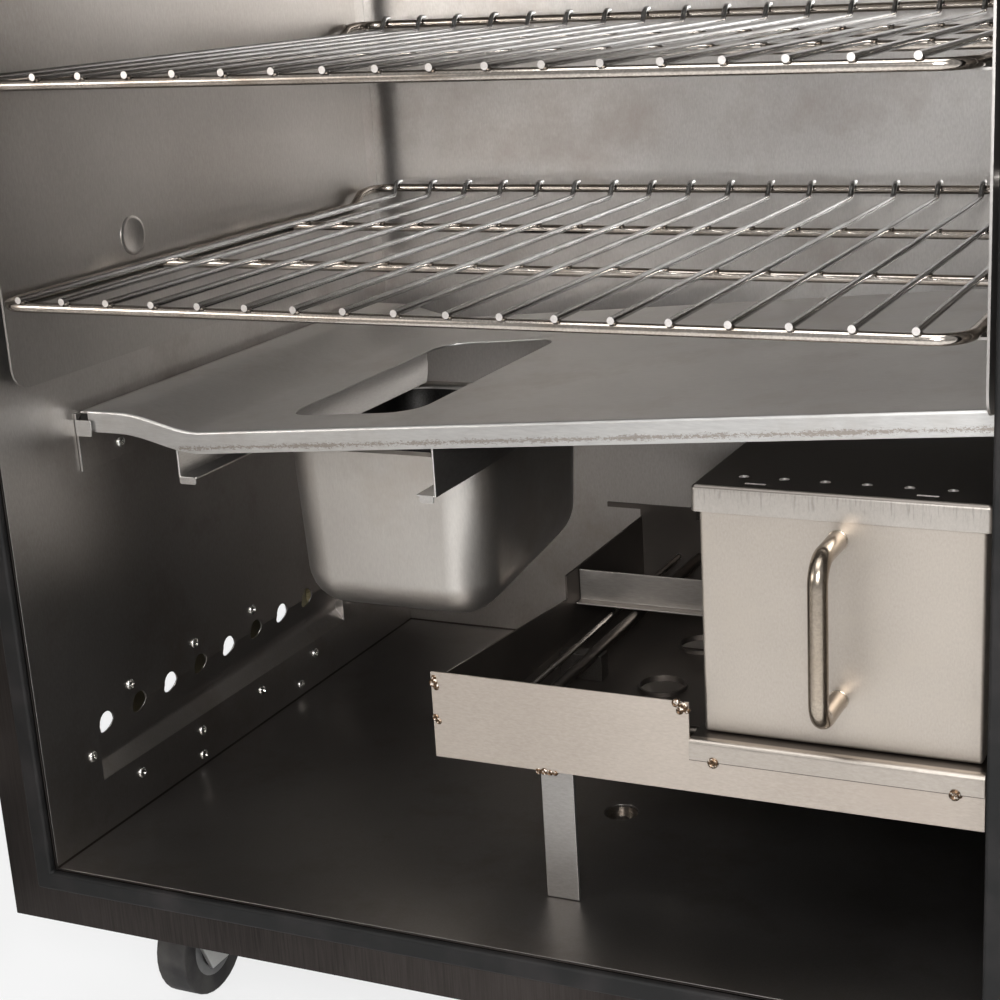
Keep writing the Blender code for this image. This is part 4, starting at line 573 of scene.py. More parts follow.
# Drain: a shallow pressed cup under the hole in the floor, dark with grease.
CUP_STEEL = steel("drain_cup_steel", (0.10, 0.085, 0.075), (0.30, 0.27, 0.24), 0.32)
DRAIN = (0.329, 0.196)
cup = cylinder(40, 0.0145, 0.0358, at(*DRAIN, -0.0197), "NOTHING")
cup.name = "drain_sleeve"
edit(cup)
choose(cup, lambda m, e: m.z > -0.005)
bpy.ops.mesh.extrude_region_move()
bpy.ops.transform.resize(value=(0.80, 0.80, 1), center_override=at(*DRAIN, 0))
bpy.ops.mesh.extrude_region_move()
bpy.ops.transform.translate(value=(0, 0, -0.004))
bpy.ops.mesh.extrude_region_move()
bpy.ops.transform.resize(value=(0.45, 0.45, 1), center_override=at(*DRAIN, 0))
leave()
apply(cup, "SOLIDIFY", thickness=0.0006, offset=0)
soften(cup, 0.0002)
settle(cup, BODY, CUP_STEEL)

# Door seal: an extruded black rubber bulb pressed onto the ring round the opening.
def rubber(name, dark, pale, roughness, grit=0.25):
    """Rubber or moulded plastic: a fine grained skin with pale dust in its hollows."""
    finish = Finish(name)
    dust = finish.noise(30.0, detail=5.0)
    finish.set(Base_Color=finish.ramp(dust, (0.45, dark), (0.75, pale)))
    finish.set(Roughness=(dust - 0.5) * 0.2 + roughness, Specular_IOR_Level=0.25)
    finish.bump(finish.noise(1300.0), grit, 0.0002)
    return finish.material


SEAL_RUBBER = rubber("seal_rubber", (0.004, 0.004, 0.004), (0.016, 0.014, 0.014), 0.62)
dress("door_seal", "door_gasket", BODY, SEAL_RUBBER, 0.0022, 4)


# Side racks: flat stainless panels hung off the walls on spacers, with a ledge folded out for
# each grate. Their front edges are bare cut sheet, polished by the grates.
RACK_STEEL = steel("rack_steel", (0.36, 0.34, 0.32), (0.50, 0.48, 0.46), 0.36, (1, 1, 0.3), None, 0.02)
for hand in ("left", "right"):
    dress("rack_panel_" + hand, "rack_" + hand, BODY, RACK_STEEL, 0.0005)
boss = turned("boss_pattern", 0.0132, 0.0004, ((0.0010, 0.0005), (0.0012, 0.0), (0.0020, -0.0006)), 40)
settle(copied(boss, "rack_dimple", at(0.0080, 0.152, 0.401), (1, 0, 0)), BODY, RACK_STEEL)

# Wire grates: a round front-to-back frame rod with two cross rods under it, and eighteen
# wires resistance-welded on top. Each wire is cut just in front of the front rod, and rises
# over the rear rod.
ROD_RADIUS = 0.0032
WIRE_RADIUS = 0.00215
ROD_LEFT = 0.0152
ROD_RIGHT = 0.6018
ROD_FRONT = 0.002
ROD_REAR = 0.480
KINK = 0.474
RISE = 0.010
CORNER = 0.018
RAMP_START = ROD_REAR - CORNER - 0.030
RAMP_RUN = 0.022
CROSS_RODS = (0.165, 0.3335)
WIRE_XS = [0.034 + 0.032 * i for i in range(18)]
DARK_REFLECTION_TONE = (0.10, 0.085, 0.075)


def bright_wire(name, dark, pale, roughness, tarnish, dark_reflection=0.0):
    """Drawn stainless wire: bright with heat tint in short runs, with a painted dark reflection
    towards the door.
    """
    finish = Finish(name)
    run = finish.noise(38.0, (1, 0.5, 1), detail=4.0)
    fine = finish.noise(800.0, (1, 0.1, 1))
    colour = finish.mix(finish.ramp(run, (0.42, 0.0), (0.70, 0.85)), pale, tarnish)
    colour = finish.mix(fine, colour, dark)
    if dark_reflection:
        # painted reflection: the wires darken towards the door, standing in for the dark they mirror
        # there
        inward = finish.along(1) - at(0, ROD_FRONT, 0).y + run * 0.06
        colour = finish.mix(finish.ramp(inward, (0.03, dark_reflection), (0.20, 0.0)), colour, DARK_REFLECTION_TONE)
    finish.set(Base_Color=colour, Metallic=1.0, Roughness=(run - 0.5) * 0.12 + roughness)
    finish.bump(fine, 0.08, 0.0001)
    return finish.material


def meshed(name, curve):
    """A mesh piece made from a curve or a text."""
    pick(placed(name, curve))
    bpy.ops.object.convert(target="MESH")
    return bpy.context.object


def weld(piece):
    """Merge the points that meet, and turn the faces outwards."""
    edit(piece)
    bpy.ops.mesh.select_all(action="SELECT")
    bpy.ops.mesh.remove_doubles(threshold=0.00001)
    bpy.ops.mesh.normals_make_consistent(inside=False)
    leave()


def bar(name, runs, radius, closed=False, sides=8):
    """Round bar along lists of points, as one mesh at its place."""
    curve = bpy.data.curves.new(name, "CURVE")
    curve.dimensions = "3D"
    curve.bevel_depth = radius
    curve.bevel_resolution = sides // 2 - 2
    curve.use_fill_caps = not closed
    for points in runs:
        spline = curve.splines.new("POLY")
        spline.points.add(len(points) - 1)
        for knot, place in zip(spline.points, points):
            knot.co = (*at(*place), 1)
        spline.use_cyclic_u = closed
    made = meshed(name, curve)
    weld(made)
    bpy.ops.object.shade_smooth_by_angle(angle=math.radians(50))
    return made


def arc(centre, radius, start, end, steps):
    """Points on an arc in a plane, angles in degrees."""
    turns = [math.radians(start + (end - start) * i / steps) for i in range(steps + 1)]
    return [(centre[0] + radius * math.cos(t), centre[1] + radius * math.sin(t)) for t in turns]


def ease(share):
    return (1 - math.cos(math.pi * min(max(share, 0), 1))) / 2


WIRE_STEEL = bright_wire(
    "grate_wire", (0.36, 0.37, 0.38), (0.92, 0.94, 0.96), 0.12, (0.60, 0.58, 0.56), 0.75
)
ROD_METAL = bright_wire("grate_rod", (0.26, 0.23, 0.20), (0.78, 0.71, 0.64), 0.14, (0.48, 0.40, 0.33))
# The weld fillets are dark: partly heat tint, partly painted shade where the wires cross the rods.
FILLET_METAL = bright_wire(
    "fillet_metal", (0.08, 0.07, 0.06), (0.40, 0.37, 0.34), 0.30, (0.14, 0.10, 0.08)
)
CUT_STEEL = steel("cut_wire_end", (0.62, 0.58, 0.55), (0.92, 0.88, 0.85), 0.42, (1, 1, 1), None, 0.10)


def grate(name, body, z):
    """One wire grate with its weld fillets and cut wire ends."""
    left, right = ROD_LEFT + CORNER, ROD_RIGHT - CORNER
    rear, front = ROD_REAR - CORNER, ROD_FRONT + CORNER
    steps = [RAMP_START + RAMP_RUN * share for share in (0.0, 0.25, 0.5, 0.75)]
    loop = arc((right, rear), CORNER, 0, 90, 6) + arc((left, rear), CORNER, 90, 180, 6)
    loop += [(ROD_LEFT, y) for y in reversed(steps)]
    loop += arc((left, front), CORNER, 180, 270, 6) + arc((right, front), CORNER, 270, 360, 6)
    loop += [(ROD_RIGHT, y) for y in steps]
    frame_rod = [(x, y, z + RISE * ease((y - RAMP_START) / RAMP_RUN)) for x, y in loop]
    top = z + ROD_RADIUS + WIRE_RADIUS - 0.0008
    wires = []
    nubs = []
    for x in WIRE_XS:
        run = [(x, ROD_FRONT - 0.0034, top), (x, ROD_FRONT + 0.05, top), (x, KINK - 0.006, top)]
        for i in range(1, 7):
            share = i / 6
            run.append((x, KINK - 0.006 + 0.010 * share, top + RISE * ease(share)))
        run.append((x, ROD_REAR + 0.0034, top + RISE))
        wires.append(run)
        for y in (ROD_FRONT, *CROSS_RODS):
            nubs.append((x, y, z + ROD_RADIUS + 0.0001))
    rods = bar(name + "_rods", [frame_rod], ROD_RADIUS, True, 14)
    cross_runs = [[(ROD_LEFT, y, z), (ROD_RIGHT, y, z)] for y in CROSS_RODS]
    crossing = bar(name + "_crossing", cross_runs, ROD_RADIUS, sides=12)
    wire_piece = bar(name + "_wires", wires, WIRE_RADIUS, sides=10)
    deselect()
    bpy.ops.mesh.primitive_uv_sphere_add(segments=10, ring_count=6, radius=1)
    nub = bpy.context.object
    nub.dimensions = (0.0052, 0.0054, 0.0026)
    bpy.ops.object.transform_apply()
    bpy.ops.object.shade_smooth()
    fillets = [copied(nub, "fillet", at(*place), (0, 0, 1)) for place in nubs]
    bpy.data.objects.remove(nub)
    settle(joined(name + "_welds", fillets), body, FILLET_METAL)
    settle(joined(name + "_rods", [rods, crossing]), body, ROD_METAL)
    made = settle(joined(name, [wire_piece]), body, WIRE_STEEL, body)
    edge = at(0, ROD_FRONT - 0.0033, 0).y
    refinish(made, CUT_STEEL, lambda f: f.center.y < edge and abs(f.normal.y) > 0.9)


grate("lower_grate", "grate_lower", 0.3808)
grate("upper_grate", "grate_upper", 0.5108)


# Heat baffle: one stainless sheet bent to a flat wing, a soft valley and a long slope, with a
# front lip folded down and a drip opening. It rests on a hooked shelf on each side wall.
WING = (0.009, 0.032, 0.297)
VALLEY = (0.093, 0.287)
SLOPE_END = (0.6015, 0.3283)
BAFFLE_FRONT = 0.0800
BAFFLE_BACK = 0.465
LIP_DEPTH = 0.0148
BAFFLE_BODY = "baffle"


def fold(piece, test, step):
    """Extrude the chosen edges of a sheet by a step."""
    edit(piece)
    choose(piece, test)
    bpy.ops.mesh.extrude_region_move(TRANSFORM_OT_translate={"value": step})
    leave()


def sheet(name, line, front, back):
    """A sheet between two depths that is folded along the points (x, z) of a line."""
    (first, last), middle = line[:2], (front + back) / 2
    corners = [(x, y, z) for y in (front, back) for x, z in (first, last)]
    deselect()
    bpy.ops.mesh.primitive_plane_add(size=1)
    piece = bpy.context.object
    piece.name = name
    for vertex, corner in zip(piece.data.vertices, corners):
        vertex.co = at(*corner)
    for (x, z), (next_x, next_z) in zip(line[1:], line[2:]):
        ends_at = lambda m, e: abs(m.x - x) < 1e-5 and abs(m.y - middle) < 0.01
        fold(piece, ends_at, (next_x - x, 0, next_z - z))
    return piece


def face(piece, facing):
    """Turn a sheet's faces to one side."""
    weld(piece)
    total = sum((p.normal * p.area for p in piece.data.polygons), Vector())
    if total.dot(Vector(facing)) < 0:
        piece.data.flip_normals()


def thicken(piece, gauge, rim=0.0003):
    """Give a sheet its gauge behind its faces, and break its cut edges."""
    apply(piece, "SOLIDIFY", thickness=gauge, offset=-1, use_even_offset=True)
    soften(piece, rim, 2, 60, 30)


def specked(finish):
    """A loose line of brown specks that follows the lip's lower edge."""
    rise = (SLOPE_END[1] - VALLEY[1]) / (SLOPE_END[0] - VALLEY[0])
    start = at(VALLEY[0], 0, VALLEY[1] - LIP_DEPTH)
    above = finish.along(2) - (finish.along(0) - start.x) * rise - start.z
    near = 1.0 - (above - SPECK_LINE).math("ABSOLUTE") / SPECK_SPREAD
    front = (at(0, BAFFLE_FRONT + 0.0005, 0).y - finish.along(1)).math("GREATER_THAN", 0.0)
    speck = finish.noise(900.0, (0.5, 1, 1), detail=5.0, roughness=0.85)
    drift = finish.noise(30.0)
    dots = near.math("MAXIMUM", 0.0) * 0.42 + speck + drift * 0.30
    grit = finish.ramp(dots, (0.98, 0.0), (1.20, 0.60))
    return grit * front * (near + 0.4).math("GREATER_THAN", 0.0), (0.22, 0.17, 0.13)


SPECK_LINE = 0.0040
SPECK_SPREAD = 0.0050
BAFFLE_TONES = (0.50, 0.49, 0.48), (0.66, 0.65, 0.63)
BAFFLE_DIRT = (0.46, 0.43, 0.40)
BAFFLE_STEEL = steel(
    "baffle_steel", *BAFFLE_TONES, 0.42, (0.12, 1, 1), BAFFLE_DIRT, 0.05, specked
)
low_x, high_x, wing_z = WING
line = [(low_x, wing_z)]
for share in (i / 10 for i in range(11)):
    x = high_x + (VALLEY[0] - high_x) * share
    line.append((x, wing_z + (VALLEY[1] - wing_z) * ease(share)))
baffle = sheet("heat_baffle", line + [SLOPE_END], BAFFLE_FRONT, BAFFLE_BACK)
fold(baffle, lambda m, e: abs(m.y - BAFFLE_FRONT) < 1e-5, (0, 0, -LIP_DEPTH))


def lip_fold(middle, edge):
    """The fold between the baffle and its front lip."""
    return abs(middle.y - BAFFLE_FRONT) < 1e-5 and len(edge.link_faces) == 2 and span(edge, 0) > 1e-4


bend(baffle, lip_fold, 0.0022)
lip_foot = wing_z - LIP_DEPTH
bend(baffle, lambda m, v: m.x < low_x + 1e-5 and m.z < lip_foot + 1e-4, 0.0060, 5, True)
face(baffle, (0, -0.2, 1))
thicken(baffle, GAUGE - 0.0002)
opening = block("opening", (0.135, 0.118, 0.25), (0.232, 0.350, 0.35))
bend(opening, lambda m, e: span(e, 2) > 0.05, 0.022, 10)
cut(baffle, opening)
soften(baffle, 0.0003, 2, 70, 30)
settle(baffle, BAFFLE_BODY, BAFFLE_STEEL, "baffle")

# A lip along the opening's left side is turned down into the pan, and its rear end is cut
# slanting.
LIP_LINE = ((0.1342, 0.2898), (0.1382, 0.2884), (0.1424, 0.2846), (0.1460, 0.2798), (0.1492, 0.2743))
spout = sheet("opening_lip", LIP_LINE, 0.132, 0.322)
lip_top = at(0, 0, LIP_LINE[0][1]).z
for vertex in spout.data.vertices:
    if vertex.co.y > at(0, 0.3, 0).y and vertex.co.z < lip_top - 0.0001:
        vertex.co.y -= 0.006 + (lip_top - vertex.co.z) * 1.6
face(spout, (0.5, 0, 1))
thicken(spout, 0.0009)
soften(spout, 0.0002, 2, 70, 30)
# A darker copy of the baffle's steel: painted shade on the lip turned down under the opening.
SHADED_LIP_STEEL = steel("shaded_lip", (0.27, 0.26, 0.25), (0.38, 0.37, 0.36), 0.40, (1, 0.25, 1))
settle(spout, BAFFLE_BODY, SHADED_LIP_STEEL)

for hand in ("left", "right"):
    dress("baffle_hook_" + hand, "baffle_bracket_" + hand, BODY, WALL_STEEL, 0.0006)
tab = block("hook_tab", (0.0004, 0.0768, 0.2796), (0.0128, 0.0780, 0.2905))
bend(tab, lambda m, e: span(e, 1) > 0.001, 0.0012)
soften(tab, 0.0003)
settle(tab, BODY, BAFFLE_STEEL)
RAIL_STEEL = steel("rail_steel", (0.50, 0.48, 0.46), (0.72, 0.70, 0.68), 0.34, (1, 0.2, 1))
for hand in ("left", "right"):
    dress("pan_runner_" + hand, "pan_rail_" + hand, BAFFLE_BODY, RAIL_STEEL, 0.0007)
for hand, low, high in (("left", 0.0748, 0.0873), ("right", 0.2513, 0.2611)):
    stop = block("runner_stop_" + hand, (low, 0.0822, 0.2504), (high, 0.0834, 0.2554))
    bend(stop, lambda m, e: span(e, 1) > 0.001, 0.0016, 5)
    soften(stop, 0.0003)
    settle(stop, BAFFLE_BODY, RAIL_STEEL)

# Grease pan: deep drawn from one thin disc of stainless, so its walls lean, its corners are
# large, and its rim is flat. Its floor falls to the front. Its inside is near black: old grease and
# painted shade under the baffle.
PAN_LOW = (0.0802, 0.160)
PAN_HIGH = (0.2602, 0.366)
PAN_MIDDLE = (0.1702, 0.263)
PAN_SPAN = (0.155, 0.181)
PAN_TOP = 0.2570
PAN_RIM = 0.0125
PAN_DROP = 0.1240
PAN_RISE = 0.020
PAN_CORNER = 0.030
PAN_FOOT = PAN_TOP - PAN_DROP
PAN_SATIN = (0.52, 0.49, 0.46), (0.66, 0.63, 0.59)
PAN_STEEL = steel("drawn_pan_steel", *PAN_SATIN, 0.42, (1, 1, 0.25), (0.50, 0.45, 0.40), 0.02)
pan = block(
    "drip_pan",
    (PAN_LOW[0] + PAN_RIM, PAN_LOW[1] + PAN_RIM, PAN_FOOT),
    (PAN_HIGH[0] - PAN_RIM, PAN_HIGH[1] - PAN_RIM, PAN_TOP),
)
edit(pan, "FACE")
choose(pan, lambda m, f: f.normal.z > 0.9, "faces")
bpy.ops.mesh.delete(type="FACE")
choose(pan, lambda m, f: f.normal.z < -0.9, "faces")
bpy.ops.transform.resize(value=(0.948, 0.955, 1), center_override=at(*PAN_MIDDLE, PAN_FOOT))
choose(pan, lambda m, e: m.z < PAN_FOOT + 1e-4 and m.y > PAN_MIDDLE[1] + 0.05)
bpy.ops.transform.translate(value=(0, 0, PAN_RISE))
leave()
bend(pan, lambda m, e: span(e, 2) > 0.05, PAN_CORNER, 10)
bend(pan, lambda m, e: m.z < PAN_FOOT + PAN_RISE + 1e-4, 0.028, 8)
edit(pan)
choose(pan, lambda m, e: len(e.link_faces) == 1)
bpy.ops.mesh.extrude_edges_move()
rim_scale = (*(1 + 2 * PAN_RIM / width for width in PAN_SPAN), 1)
bpy.ops.transform.resize(value=rim_scale, center_override=at(*PAN_MIDDLE, PAN_TOP))
leave()


def rim_root(middle, edge):
    """The fold between the pan's walls and its rim."""
    inside = all(abs(middle[i] - PAN_MIDDLE[i]) < PAN_SPAN[i] / 2 + 0.001 for i in (0, 1))
    level = abs(middle.z - PAN_TOP) < 1e-5 and len(edge.link_faces) == 2
    return inside and level and edge.calc_face_angle(0) > 0.8


bend(pan, rim_root, 0.0030, 4)
face(pan, (0, 0, 1))
thicken(pan, 0.0011, 0.0002)
settle(pan, "grease_pan", PAN_STEEL, "grease_pan")
# Grease and painted shade: the pan's inside below the rim is near black.
GREASE_AND_SHADE = steel("greasy_shaded_inside", (0.035, 0.033, 0.031), (0.14, 0.135, 0.13), 0.36)
core = at(*PAN_MIDDLE, PAN_TOP - 0.040)
dark_inside_faces = lambda f: f.center.z < core.z + 0.036 and f.normal.dot(core - f.center) > 0
refinish(pan, GREASE_AND_SHADE, dark_inside_faces)


# Element tray: an open box folded from one stainless sheet, with TIG-welded corners, a lower
# front under the wood box, a slope down its left side, and three collars for rising air.
TRAY_RIGHT = 0.6035
TRAY_FRONT = 0.064
STEP_X = 0.430


def sooty_behind(front, edge=0.0004):
    """Painted shade, in patches, on the faces behind a depth, while the front face stays clean."""

    def stain(finish):
        patch = finish.noise(8.0, detail=4.0)
        depth = (finish.along(1) - at(0, front, 0).y) / edge + patch - 0.5
        return finish.ramp(depth, (0.3, 0.0), (1.0, 1.0)) * (patch * 0.3 + 0.72), (0.045, 0.038, 0.034)

    return stain


TRAY_TONES = (0.40, 0.35, 0.305), (0.54, 0.48, 0.425)
# painted shade inside the tray, behind its front sheet
TRAY_SHADE = sooty_behind(TRAY_FRONT + 0.0008)
TRAY_STEEL = steel(
    "tray_steel", *TRAY_TONES, 0.50, (0.3, 1, 1), (0.44, 0.38, 0.33), 0.04, TRAY_SHADE
)
BRACE_STEEL = steel("brace_steel", (0.28, 0.26, 0.24), (0.44, 0.41, 0.38), 0.42, (0.15, 1, 1))
dress("heater_tray", "element_tray", BODY, TRAY_STEEL, 0.0007)
dress("tray_brace", "tray_cross_bar", BODY, BRACE_STEEL, 0.0006)
dress("box_rest", "box_rear_rest", BODY, BRACE_STEEL, 0.0006)
LEG_STEEL = steel("leg_steel", (0.27, 0.255, 0.24), (0.38, 0.365, 0.35), 0.42, (0.3, 1, 1))
for spot in ("front", "rear"):
    dress("tray_foot_" + spot, "tray_leg_" + spot, BODY, LEG_STEEL, 0.0006)

# Ledge: a strip folded over the tray's low front, where the wood box slides out. Its fold is
# a wide polished bend.
LEDGE_TOP = 0.1245
LEDGE_FRONT = 0.0622
LEDGE_LIP = 0.0135


def ledge_soot(finish):
    """Painted shade on the ledge's top where the box shades it, and a painted shadow line along its
    lower edge.
    """
    top, tone = sooty_behind(LEDGE_FRONT + 0.0040, 0.0020)(finish)
    above = finish.along(2) - at(0, 0, LEDGE_TOP - LEDGE_LIP).z
    # painted shadow line along the ledge's lower edge, and painted shade on its top
    return top.math("MAXIMUM", above.math("LESS_THAN", 0.0006) * 0.75), tone


LEDGE_STEEL = steel(
    "ledge_steel", (0.34, 0.305, 0.27), (0.46, 0.415, 0.37), 0.36, (0.3, 1, 1), None, 0.04, ledge_soot
)
ledge_line = ((STEP_X, LEDGE_TOP), (TRAY_RIGHT, LEDGE_TOP))
ledge = sheet("box_ledge", ledge_line, LEDGE_FRONT, LEDGE_FRONT + 0.026)
fold(ledge, lambda m, e: abs(m.y - LEDGE_FRONT) < 1e-5, (0, 0, -LEDGE_LIP))
bend(ledge, lambda m, e: abs(m.y - LEDGE_FRONT) < 1e-5 and len(e.link_faces) == 2, 0.0032, 6)
face(ledge, (0, -0.3, 1))
thicken(ledge, GAUGE - 0.0001)
settle(ledge, BODY, LEDGE_STEEL, "ledge_rail")

# Weld beads on the tray's front: small puddles with a brown heat ring, at the corners and
# where the ledge is tacked on.
TACKS = (
    (0.2618, 0.1400, ((0, 0, 1.1), (0.0016, -0.0030, 0.8), (0.0004, 0.0034, 0.7))),
    (0.2616, 0.1165, ((0, 0, 0.9), (0.0020, -0.0024, 0.8))),
    (0.4268, 0.1440, ((0, 0, 1.2), (-0.0044, 0.0018, 1.0), (-0.0022, -0.0030, 0.9))),
    (0.4268, 0.1440, ((0.0022, -0.0026, 0.7),)),
    (0.4450, 0.1112, ((0, 0, 1.30), (0.0010, 0.0010, 0.6))),
    (0.5870, 0.1112, ((0, 0, 1.30), (0.0024, -0.0004, 0.7))),
    (0.3345, 0.0892, ((-0.0040, 0, 0.8), (0, 0.0004, 0.9), (0.0036, 0, 0.8), (0.0072, 0.0002, 0.7))),
)


# Weld metal: brown-black scale with a few bright specks.
SCALE_TONES = ((0.30, (0.02, 0.014, 0.010)), (0.56, (0.16, 0.10, 0.06)), (0.66, (0.70, 0.66, 0.60)))
WELD_METAL = grained("weld_bead", 620.0, 4.0, SCALE_TONES, 0.40, 0.3, 0.7, 0.0006, Metallic=1.0)
bead_rings = ((0.0005, 0.0005), (0.0005, 0.0002), (0.0005, -0.0004))
bead = turned("bead_pattern", 0.0026, 0.0022, bead_rings, 14)
beads = []
for x, z, puddles in TACKS:
    for step_x, step_z, size in puddles:
        made = copied(bead, "tack", (0, 0, 0), (0, -1, 0))
        root_y = LEDGE_FRONT + 0.0022 if STEP_X < x else TRAY_FRONT + 0.0016
        spot = Matrix.Translation(at(x + step_x, root_y, z + step_z))
        made.data.transform(spot @ Matrix.Scale(size, 4))
        beads.append(made)
settle(joined("tray_welds", beads), BODY, WELD_METAL)

# Heating element: a magnesia-filled tube bent to a U, blackened by use, with the thermostat's
# capillary bulb beside it, a clip that carries both, and a flange on the rear wall.
ELEMENT_Z = 0.110
SHEATH = bright_wire(
    "oxidised_sheath", (0.04, 0.035, 0.03), (0.13, 0.115, 0.10), 0.36, (0.09, 0.06, 0.045)
)
LEFT_RUN, RIGHT_RUN, FRONT_RUN, TURN = 0.308, 0.500, 0.104, 0.030
TUBE_REAR = 0.5034
turn_y = FRONT_RUN + TURN
path = [(LEFT_RUN, TUBE_REAR), (LEFT_RUN, 0.30), *arc((LEFT_RUN + TURN, turn_y), TURN, 180, 270, 10)]
path += [*arc((RIGHT_RUN - TURN, turn_y), TURN, 270, 360, 10), (RIGHT_RUN, TUBE_REAR)]
path = [(x, y, ELEMENT_Z) for x, y in path]
settle(bar("element_tube", [path], 0.0040, sides=16), BODY, SHEATH, "heating_element")
BULB = bright_wire("probe_steel", (0.14, 0.13, 0.12), (0.34, 0.32, 0.30), 0.28, (0.20, 0.15, 0.11))
bulb_runs = [[(0.291, 0.110, ELEMENT_Z), (0.291, TUBE_REAR, ELEMENT_Z)]]
settle(bar("probe_bulb", bulb_runs, 0.0022, sides=12), BODY, BULB, "thermostat_probe")
CLIP_STEEL = steel("clip_steel", (0.05, 0.045, 0.04), (0.12, 0.11, 0.10), 0.40)
dress("element_clip", "element_support", BODY, CLIP_STEEL, 0.0005, 2)
dress("element_seat", "element_flange", BODY, CLIP_STEEL, 0.0008)

# Wood box: folded from one sheet with welded corners, brushed up and down, with a lift-off
# lid. It slides out over the ledge by a polished rod handle.
BOX_LOW = (0.4355, 0.076, 0.1248)
BOX_HIGH = (0.5995, 0.276, 0.2747)
BOX_BODY = "wood_box"
BOX_TONES = (0.38, 0.34, 0.30), (0.50, 0.45, 0.40)
BOX_STEEL = steel("wood_box_steel", *BOX_TONES, 0.46, (1, 1, 0.5), (0.46, 0.41, 0.355), 0.04)
chip_box = block("chip_box", BOX_LOW, BOX_HIGH)
edit(chip_box, "FACE")
choose(chip_box, lambda m, f: f.normal.z > 0.9, "faces")
bpy.ops.mesh.delete(type="FACE")
leave()
bend(chip_box, lambda m, e: span(e, 2) > 0.05, 0.0022, 5)
bend(chip_box, lambda m, e: m.z < BOX_LOW[2] + 1e-4, 0.0022, 5)
thicken(chip_box, GAUGE)
settle(chip_box, BOX_BODY, BOX_STEEL, "wood_box")

# Lid: a shallow folded cap with six small vent holes and two slots along its front edge.
LID_LOW = (0.4330, 0.0735)
LID_HIGH = (0.6020, 0.2785)
LID_TOP = 0.2765
LID_LIP = 0.0135


def streaked(finish):
    """Short dark streaks that run down the lip, and a painted dark reflection on the top."""
    height = finish.along(2) - at(0, 0, LID_TOP - LID_LIP).z
    streak = finish.noise(700.0, (1, 1, 0.10), detail=4.0)
    run = finish.ramp(streak + height * 14.0, (0.64, 0.0), (0.90, 0.42))
    # painted dark reflection on the lid's top
    top = (height - (LID_LIP - 0.0008)).math("GREATER_THAN", 0.0) * 0.72
    return run.math("MAXIMUM", top), (0.10, 0.085, 0.075)


LID_STEEL = steel(
    "lid_steel", (0.42, 0.385, 0.35), (0.54, 0.50, 0.46), 0.34, (1, 1, 0.5), None, 0.05, streaked
)
lid_line = ((LID_LOW[0], LID_TOP), (LID_HIGH[0], LID_TOP))
lid = sheet("chip_box_lid", lid_line, LID_LOW[1], LID_HIGH[1])
fold(lid, lambda m, e: True, (0, 0, -LID_LIP))
bend(lid, lambda m, e: len(e.link_faces) == 2 and span(e, 2) > 0.005, 0.0018, 5)
bend(lid, lambda m, e: len(e.link_faces) == 2 and abs(m.z - LID_TOP) < 1e-5, 0.0020, 5)
face(lid, (0, 0, 1))
thicken(lid, GAUGE - 0.0002)
LID_HOLES = [(0.457 + 0.024 * i, 0.094) for i in range(6)]
for x, y in LID_HOLES:
    cut(lid, cylinder(24, 0.0030, 0.01, at(x, y, LID_TOP)))
LID_SLOTS = ((0.468, 0.081), (0.566, 0.081))
SLOT_HALF = Vector((0.006, 0.0012, 0.01))
for x, y in LID_SLOTS:
    cut(lid, block("slot", -SLOT_HALF, SLOT_HALF, at(x, y, LID_TOP)))
soften(lid, 0.0002, 2, 70, 30)
settle(lid, "wood_box_lid", LID_STEEL, "wood_box_lid")
cutouts = [at(x, y, LID_TOP) for x, y in (*LID_HOLES, *LID_SLOTS)]


def cut_edge(part):
    """The bare metal inside the lid's holes and slots."""
    reach = min((part.center - middle).length for middle in cutouts)
    return reach < 0.0066 and abs(part.normal.z) < 0.8


refinish(lid, CUT_STEEL, cut_edge)
lid_bead = copied(bead, "lid_tack", at(0.4345, 0.107, LID_TOP - 0.0019), (0, 0, 1))
settle(lid_bead, "wood_box_lid", CUT_STEEL)

# Handle: a polished rod bent to a D, shouldered where it is screwed to the box's front.
HANDLE_X = 0.517
HANDLE_RADIUS = 0.0057
BAR_Y = 0.0354
FOOT_LOW, FOOT_HIGH, HANDLE_BEND = 0.1545, 0.2500, 0.014
ROD_STEEL = bright_wire("handle_rod", (0.24, 0.20, 0.16), (0.46, 0.40, 0.33), 0.24, (0.38, 0.32, 0.25))
bend_y, BOX_FACE = BAR_Y + HANDLE_BEND, 0.0757
side = [(BOX_FACE, FOOT_LOW), *arc((bend_y, FOOT_LOW + HANDLE_BEND), HANDLE_BEND, 270, 180, 10)]
side += [*arc((bend_y, FOOT_HIGH - HANDLE_BEND), HANDLE_BEND, 180, 90, 10), (BOX_FACE, FOOT_HIGH)]
path = [(HANDLE_X, y, z) for y, z in side]
handle = bar("box_handle", [path], HANDLE_RADIUS, sides=24)
shoulder = turned("shoulder_pattern", HANDLE_RADIUS + 0.0003, 0.0007, ((0.0003, 0.0002),), 32)
spots = [at(HANDLE_X, BOX_FACE, z) for z in (FOOT_LOW, FOOT_HIGH)]
feet = [copied(shoulder, "shoulder", spot, (0, -1, 0)) for spot in spots]
settle(joined("box_handle", [handle] + feet), BOX_BODY, ROD_STEEL, "wood_box_handle")


